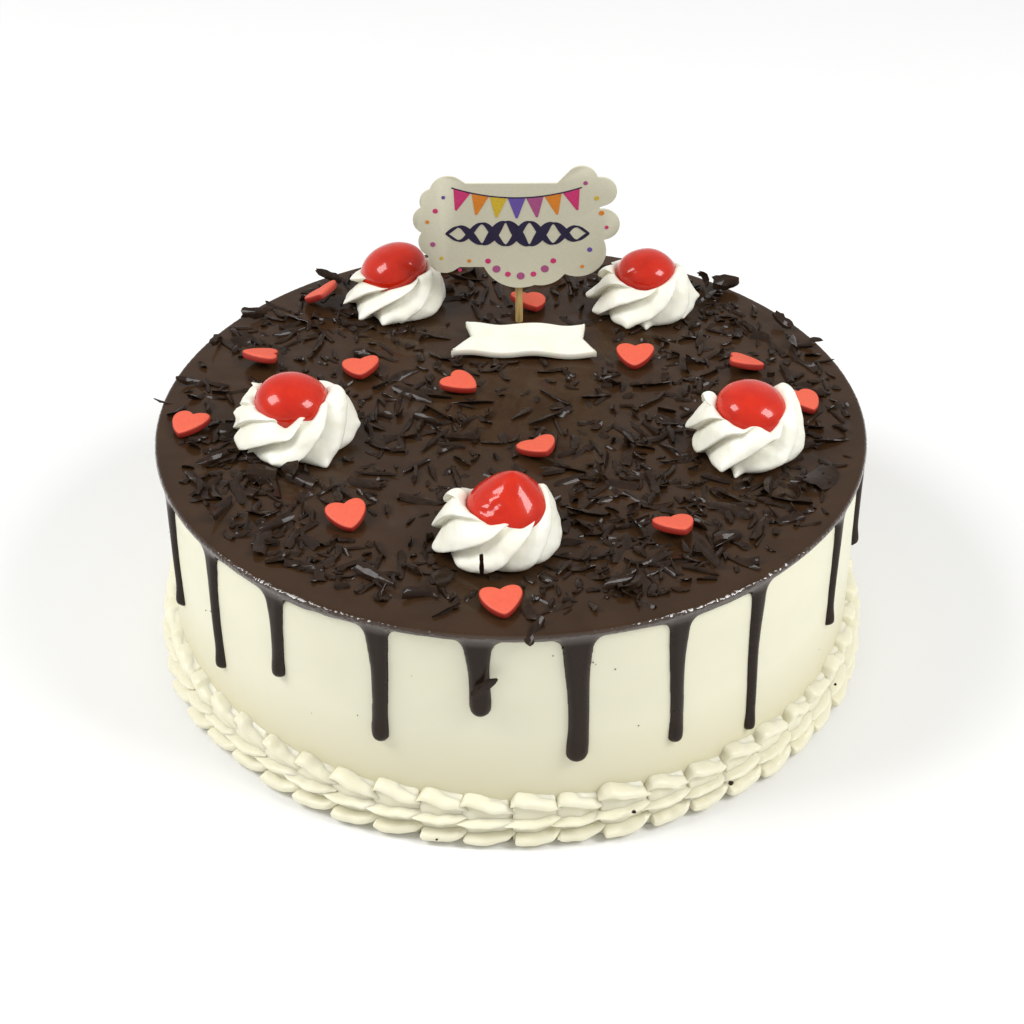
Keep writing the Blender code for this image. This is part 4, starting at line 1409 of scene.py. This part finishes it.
def plaque_cover(shape, ring, upper):
    """Close the ribbon's top or bottom with a grid that meets all four of its edges."""
    columns, rows = PLAQUE_COLUMNS, PLAQUE_ROWS
    front = ring[: columns + 1]
    right = ring[columns : columns + rows + 1]
    back = ring[columns + rows : 2 * columns + rows + 1][::-1]
    left = np.concatenate((ring[2 * columns + rows :], ring[:1]))[::-1]
    share = steps(0.0, 1.0, rows + 1)[:, None, None]
    across = steps(0.0, 1.0, columns + 1)[None, :, None]
    corners = mixed(mixed(front[0], front[-1], across), mixed(back[0], back[-1], across), share)
    grid = mixed(front[None], back[None], share) + mixed(left[:, None], right[:, None], across) - corners
    low = np.arange(rows)[:, None] * (columns + 1) + np.arange(columns)
    faces = np.stack((low, low + 1, low + columns + 2, low + columns + 1), -1).reshape(-1, 4)
    shape.add(grid, faces if upper else faces[:, ::-1])


def ray_to_circle(turn, centre_x, centre_z, radius):
    along = centre_x * np.cos(turn) + centre_z * np.sin(turn)
    square = radius * radius - (centre_x**2 + centre_z**2 - along**2)
    return np.where(square > 0.0, along + np.sqrt(np.maximum(square, 0.0)), 0.0)


def card_outline(count):
    """The card's scalloped edge as x and z in metres."""
    centre_x, centre_z = CARD_CENTRE
    left, right, low, high = CARD_PANEL
    turn = ALL_ROUND * (np.arange(count) + 0.25) / count
    side = np.where(np.cos(turn) > 0.0, right - centre_x, left - centre_x)
    level = np.where(np.sin(turn) > 0.0, high - centre_z, low - centre_z)
    reach = np.minimum(side / np.cos(turn), level / np.sin(turn))
    for x, z, radius in CARD_SCALLOPS:
        reach = np.maximum(reach, ray_to_circle(turn, x - centre_x, z - centre_z, radius))
    return np.stack((centre_x + reach * np.cos(turn), centre_z + reach * np.sin(turn)), -1) * MM


def upright(outline, y):
    """An outline of x and z, stood up at one value of Y."""
    return np.column_stack((outline[:, 0], np.full(len(outline), y), outline[:, 1]))


def stroke(path, widths):
    """The outline of a brush stroke along a path of x and z, with a width at each point."""
    path = np.array(path)
    along = np.gradient(path, axis=0)
    aside = np.stack((-along[:, 1], along[:, 0]), -1)
    aside /= np.linalg.norm(aside, axis=1, keepdims=True)
    half = 0.5 * np.asarray(widths)[:, None]
    return np.concatenate((path + aside * half, (path - aside * half)[::-1]))


def disc(x, z, radius):
    turn = directions(24)
    return np.stack((x + radius * np.cos(turn), z + radius * np.sin(turn)), -1)


INKS = (
    ("magenta", (0.58, 0.035, 0.16)),
    ("orange", (0.68, 0.22, 0.02)),
    ("yellow", (0.62, 0.43, 0.03)),
    ("violet", (0.13, 0.08, 0.35)),
    ("mauve", (0.38, 0.08, 0.22)),
    ("navy", (0.017, 0.013, 0.045)),
)
MAGENTA, ORANGE, YELLOW, VIOLET, MAUVE, NAVY = range(6)

# Confetti: x, z and radius in millimetres, and ink
CONFETTI = (
    (-22.5, 110.5, 0.8, MAGENTA),
    (-25.0, 106.8, 0.6, ORANGE),
    (-23.5, 99.2, 0.8, MAUVE),
    (-21.0, 94.4, 0.6, YELLOW),
    (-20.0, 115.0, 0.6, VIOLET),
    (27.6, 109.6, 0.8, ORANGE),
    (26.0, 114.6, 0.7, YELLOW),
    (29.2, 104.8, 0.6, MAGENTA),
    (24.2, 97.2, 0.8, VIOLET),
    (22.0, 91.4, 0.6, ORANGE),
    (22.6, 119.6, 0.7, MAUVE),
    (-12.5, 93.5, 0.6, ORANGE),
    (-15.4, 90.4, 0.6, MAGENTA),
)


def pennant(x, z, tilt):
    """A small bunting flag, in millimetres, with its point down."""
    corners = np.array(((-2.6, 0.0), (2.6, 0.0), (0.3, -6.6), (-0.3, -6.6)))
    cos, sin = math.cos(tilt), math.sin(tilt)
    return corners @ np.array(((cos, sin), (-sin, cos))) + np.array((x, z))


def string_height(x):
    """Height of the bunting's string at a place across the card, in millimetres."""
    return 118.2 - 3.4 * (1.0 - ((x - 2.0) / 19.5) ** 2)


def print_shapes():
    """The card's printed motifs as outlines in millimetres, each with its ink."""
    along = steps(-17.5, 21.5, 60)
    string = np.stack((along, string_height(along)), -1)
    shapes = [(stroke(string, np.full(60, 0.45)), NAVY)]
    flags = (MAGENTA, ORANGE, YELLOW, VIOLET, MAUVE, ORANGE, MAGENTA)
    for x, ink in zip(steps(-14.4, 18.4, len(flags)), flags):
        shapes.append((pennant(x, string_height(x) - 0.2, 0.018 * (x - 2.0)), ink))
    along = steps(-19.5, 24.0, 160)
    part = (along + 19.5) / 43.5
    for phase, thick in ((0.0, 2.9), (math.pi, 1.8)):
        turn = part * 3.0 * ALL_ROUND + phase
        level = 102.8 + 4.0 * np.sin(turn) * np.sin(part * math.pi) ** 0.4
        widths = 0.5 + thick * np.abs(np.cos(turn)) * np.sin(part * math.pi) ** 0.6
        shapes.append((stroke(np.stack((along, level), -1), widths), NAVY))
    for step in range(7):
        turn = math.radians(-150.0 + 20.0 * step)
        radius, ink = ((0.9, MAGENTA), (1.25, MAUVE))[step % 2]
        shapes.append((disc(3.2 + 11.5 * math.cos(turn), 98.6 + 10.4 * math.sin(turn), radius), ink))
    for x, z, radius, ink in CONFETTI:
        shapes.append((disc(x, z, radius), ink))
    return shapes


def make_topper(settings):
    """The scalloped card and the print on its face."""
    face, back = CARD_LOW.y, CARD_HIGH.y
    outline = card_outline(720)
    middle = np.array(CARD_CENTRE) * MM
    rings = []
    for y, inset in ((face, 0.12), (face + 0.08 * MM, 0.02), (back - 0.08 * MM, 0.02), (back, 0.12)):
        rings.append(upright(middle + (outline - middle) * (1.0 - inset / CARD_REACH), y))
    add_skin("topper_board", rings, card_finish(settings), "topper_card")
    prints = Shape()
    for number, (motif, ink) in enumerate(print_shapes()):
        front = face - 0.05 * MM - 0.012 * MM * (number % 5)
        plate = [upright(motif * MM, y) for y in (front, face + 0.02 * MM)]
        prints.add_rings(np.array(plate), paint=ink)
    inks = [ink_finish(*row) for row in INKS]
    add_piece("topper_print", prints.mesh("topper_print"), inks, sharp=30.0)


def make_stick(settings):
    """The wooden stick behind the card, with a little grain."""
    x = 0.5 * (STICK_LOW.x + STICK_HIGH.x)
    y = 0.5 * (STICK_LOW.y + STICK_HIGH.y)
    radius = 0.5 * (STICK_HIGH.x - STICK_LOW.x)
    chamfer = 0.4 * MM
    angle = directions(40)
    rings = [around(radius * 0.75, angle, STICK_LOW.z)]
    for height in steps(STICK_LOW.z + chamfer, STICK_HIGH.z - chamfer, 90):
        grain = 0.035 * MM * ripples(around(radius, angle, height * 0.08), 0.9 * MM, 81)
        rings.append(around(radius - 0.05 * MM + grain, angle, height))
    rings.append(around(radius * 0.75, angle, STICK_HIGH.z))
    rings = np.array(rings) + np.array((x, y, 0.0))
    add_skin("wooden_stick", rings, wood_finish(settings), "topper_stick", 50.0)


def make_crumbs(settings):
    """Small chocolate crumbs on the cream: those seen, and a few smaller ones on the side."""
    draw = np.random.default_rng(91)
    shape = Shape()
    corners = 7
    angle = directions(corners)
    rows = [(math.radians(turn), *row) for turn, *row in CHOSEN_CRUMBS]
    for _ in range(26):
        turn = draw.uniform(-math.pi, math.pi)
        rows.append((turn, 101.6, draw.uniform(18.0, 64.0), draw.uniform(0.2, 0.5)))
    for turn, far, height, size in rows:
        size *= MM
        rings = []
        for level in (-0.8, -0.3, 0.3, 0.8):
            reach = size * 0.5 * math.cos(level) * draw.uniform(0.6, 1.2, corners)
            rings.append(around(reach, angle + level, size * 0.5 * level * draw.uniform(0.5, 1.0)))
        rings = turned(np.array(rings), roll=draw.uniform(-1.0, 1.0))
        shape.add_rings(rings + around(far * MM, turn, height * MM))
    add_piece("crumbs", shape.mesh("crumbs"), [flake_finish(settings)], sharp=25.0)


SOFTBOX_DISTANCE = 1.5
FLOOR_RADIUS = 6.0


def add_softbox(name, direction, size, power):
    """A rectangular softbox that faces the middle of the cake."""
    light = bpy.data.lights.new(name, "AREA")
    light.shape = "RECTANGLE"
    light.size = size
    light.size_y = size * 1.2
    light.energy = power
    lamp = bpy.data.objects.new(name, light)
    aim = Vector(direction).normalized()
    lamp.location = aim * SOFTBOX_DISTANCE + Vector((0.0, 0.0, 0.06))
    lamp.rotation_mode = "QUATERNION"
    lamp.rotation_quaternion = aim.to_track_quat("Z", "Y")
    bpy.context.scene.collection.objects.link(lamp)


def make_stage(settings):
    """The plain floor, the studio light and the camera."""
    bm = bmesh.new()
    bmesh.ops.create_circle(bm, cap_ends=True, segments=96, radius=FLOOR_RADIUS)
    mesh = bpy.data.meshes.new("floor")
    bm.to_mesh(mesh)
    bm.free()
    mesh.materials.append(floor_finish(settings))
    floor = bpy.data.objects.new("floor", mesh)
    floor.location.z = -0.05 * MM
    bpy.context.scene.collection.objects.link(floor)

    scene = bpy.context.scene
    scene.view_settings.view_transform = "Standard"
    world = bpy.data.worlds.new("studio")
    world.use_nodes = True
    background = world.node_tree.nodes["Background"]
    background.inputs["Color"].default_value = (1.0, 1.0, 1.0, 1.0)
    background.inputs["Strength"].default_value = settings.sky
    scene.world = world

    add_softbox("softbox_left", (-0.69, -0.11, 0.71), 0.62, settings.box_power)
    add_softbox("softbox_right", (0.68, -0.27, 0.67), 0.55, 0.9 * settings.box_power)

    camera = bpy.data.objects.new("camera", bpy.data.cameras.new("camera"))
    camera.data.sensor_width = 36.0
    camera.data.lens = settings.lens
    camera.data.clip_start = 0.01
    away = Vector((0.0, -math.cos(settings.elevation), math.sin(settings.elevation)))
    aim = Vector((0.25 * MM, 0.0, settings.aim_height))
    look = Matrix.Rotation(math.pi / 2 - settings.elevation, 4, "X") @ Matrix.Rotation(settings.roll, 4, "Z")
    camera.matrix_world = Matrix.Translation(aim + away * settings.distance) @ look
    scene.collection.objects.link(camera)
    scene.camera = camera


class CAKE_OT_cream_coat(bpy.types.Operator):
    """Coat the cake with smooth cream"""

    bl_idname = "cake.cream_coat"
    bl_label = "Cream coat"

    def execute(self, context):
        make_cream_coat(context.scene.cream)
        return {"FINISHED"}


class CAKE_OT_ganache(bpy.types.Operator):
    """Pour the ganache over the top and let it drip"""

    bl_idname = "cake.ganache"
    bl_label = "Ganache and drips"

    def execute(self, context):
        make_ganache(context.scene.ganache, draws_of_the_solids())
        return {"FINISHED"}


class CAKE_OT_flakes(bpy.types.Operator):
    """Scatter the chocolate shavings over the ganache"""

    bl_idname = "cake.flakes"
    bl_label = "Shavings"

    def execute(self, context):
        make_flakes(context.scene.ganache, draws_of_the_solids())
        return {"FINISHED"}


class CAKE_OT_shells(bpy.types.Operator):
    """Pipe the shells round the foot"""

    bl_idname = "cake.shells"
    bl_label = "Shell border"

    def execute(self, context):
        make_shell_border(context.scene.piping, draws_of_the_solids())
        return {"FINISHED"}


class CAKE_OT_rosettes(bpy.types.Operator):
    """Pipe the five rosettes that hold the cherries"""

    bl_idname = "cake.rosettes"
    bl_label = "Rosettes"

    def execute(self, context):
        settings = context.scene.piping
        material = piped_cream_finish("rosette_cream", settings.colour)
        lobes = draws_of_the_solids()["lobes"]
        for name, *row in ROSETTES:
            make_rosette(name, *row, settings, lobes[name], material)
        return {"FINISHED"}


class CAKE_OT_cherries(bpy.types.Operator):
    """Set a candied cherry in each rosette"""

    bl_idname = "cake.cherries"
    bl_label = "Cherries"

    def execute(self, context):
        material = cherry_finish(context.scene.toppings)
        for name, *row in CHERRIES:
            make_cherry(name, row, material)
        return {"FINISHED"}


class CAKE_OT_hearts(bpy.types.Operator):
    """Lay the sugar hearts on the ganache"""

    bl_idname = "cake.hearts"
    bl_label = "Sugar hearts"

    def execute(self, context):
        material = heart_finish(context.scene.toppings)
        for index, row in enumerate(HEARTS):
            make_heart(index, row, material)
        return {"FINISHED"}


class CAKE_OT_plaque(bpy.types.Operator):
    """Lay the plain sugar ribbon on the ganache"""

    bl_idname = "cake.plaque"
    bl_label = "Ribbon plaque"

    def execute(self, context):
        make_plaque(context.scene.toppings)
        return {"FINISHED"}


class CAKE_OT_topper(bpy.types.Operator):
    """Stand the printed card up on its stick"""

    bl_idname = "cake.topper"
    bl_label = "Topper"

    def execute(self, context):
        make_topper(context.scene.topper)
        make_stick(context.scene.topper)
        return {"FINISHED"}


class CAKE_OT_crumbs(bpy.types.Operator):
    """Drop a few chocolate crumbs on the cream"""

    bl_idname = "cake.crumbs"
    bl_label = "Crumbs"

    def execute(self, context):
        make_crumbs(context.scene.ganache)
        return {"FINISHED"}


class CAKE_OT_stage(bpy.types.Operator):
    """Set up the floor, the light and the camera"""

    bl_idname = "cake.stage"
    bl_label = "Stage"

    def execute(self, context):
        make_stage(context.scene.stage)
        return {"FINISHED"}


GROUPS = {
    "cream": CreamSettings,
    "ganache": GanacheSettings,
    "piping": PipingSettings,
    "toppings": ToppingSettings,
    "topper": TopperSettings,
    "stage": StageSettings,
}
OPERATORS = (
    (CAKE_OT_cream_coat, "cream"),
    (CAKE_OT_ganache, "ganache"),
    (CAKE_OT_flakes, None),
    (CAKE_OT_shells, "piping"),
    (CAKE_OT_rosettes, None),
    (CAKE_OT_cherries, "toppings"),
    (CAKE_OT_hearts, None),
    (CAKE_OT_plaque, None),
    (CAKE_OT_topper, "topper"),
    (CAKE_OT_crumbs, None),
    (CAKE_OT_stage, "stage"),
)


class CAKE_PT_panel(bpy.types.Panel):
    """Lists the cake's settings and the steps that make it"""

    bl_idname = "CAKE_PT_panel"
    bl_label = "Chocolate drip cake"
    bl_space_type = "VIEW_3D"
    bl_region_type = "UI"
    bl_category = "Drip cake"

    def draw(self, context):
        for operator, group in OPERATORS:
            if group:
                box = self.layout.box()
                settings = getattr(context.scene, group)
                for name in GROUPS[group].__annotations__:
                    box.prop(settings, name)
            self.layout.operator(operator.bl_idname)


def register():
    for name, group in GROUPS.items():
        bpy.utils.register_class(group)
        setattr(bpy.types.Scene, name, bpy.props.PointerProperty(type=group))
    for operator, _ in OPERATORS:
        bpy.utils.register_class(operator)
    bpy.utils.register_class(CAKE_PT_panel)


def unregister():
    bpy.utils.unregister_class(CAKE_PT_panel)
    for operator, _ in reversed(OPERATORS):
        bpy.utils.unregister_class(operator)
    for name, group in reversed(GROUPS.items()):
        delattr(bpy.types.Scene, name)
        bpy.utils.unregister_class(group)


def main():
    register()
    bpy.ops.cake.cream_coat()
    bpy.ops.cake.ganache()
    bpy.ops.cake.flakes()
    bpy.ops.cake.shells()
    bpy.ops.cake.rosettes()
    bpy.ops.cake.cherries()
    bpy.ops.cake.hearts()
    bpy.ops.cake.plaque()
    bpy.ops.cake.topper()
    bpy.ops.cake.crumbs()
    bpy.ops.cake.stage()


if __name__ == "__main__":
    main()
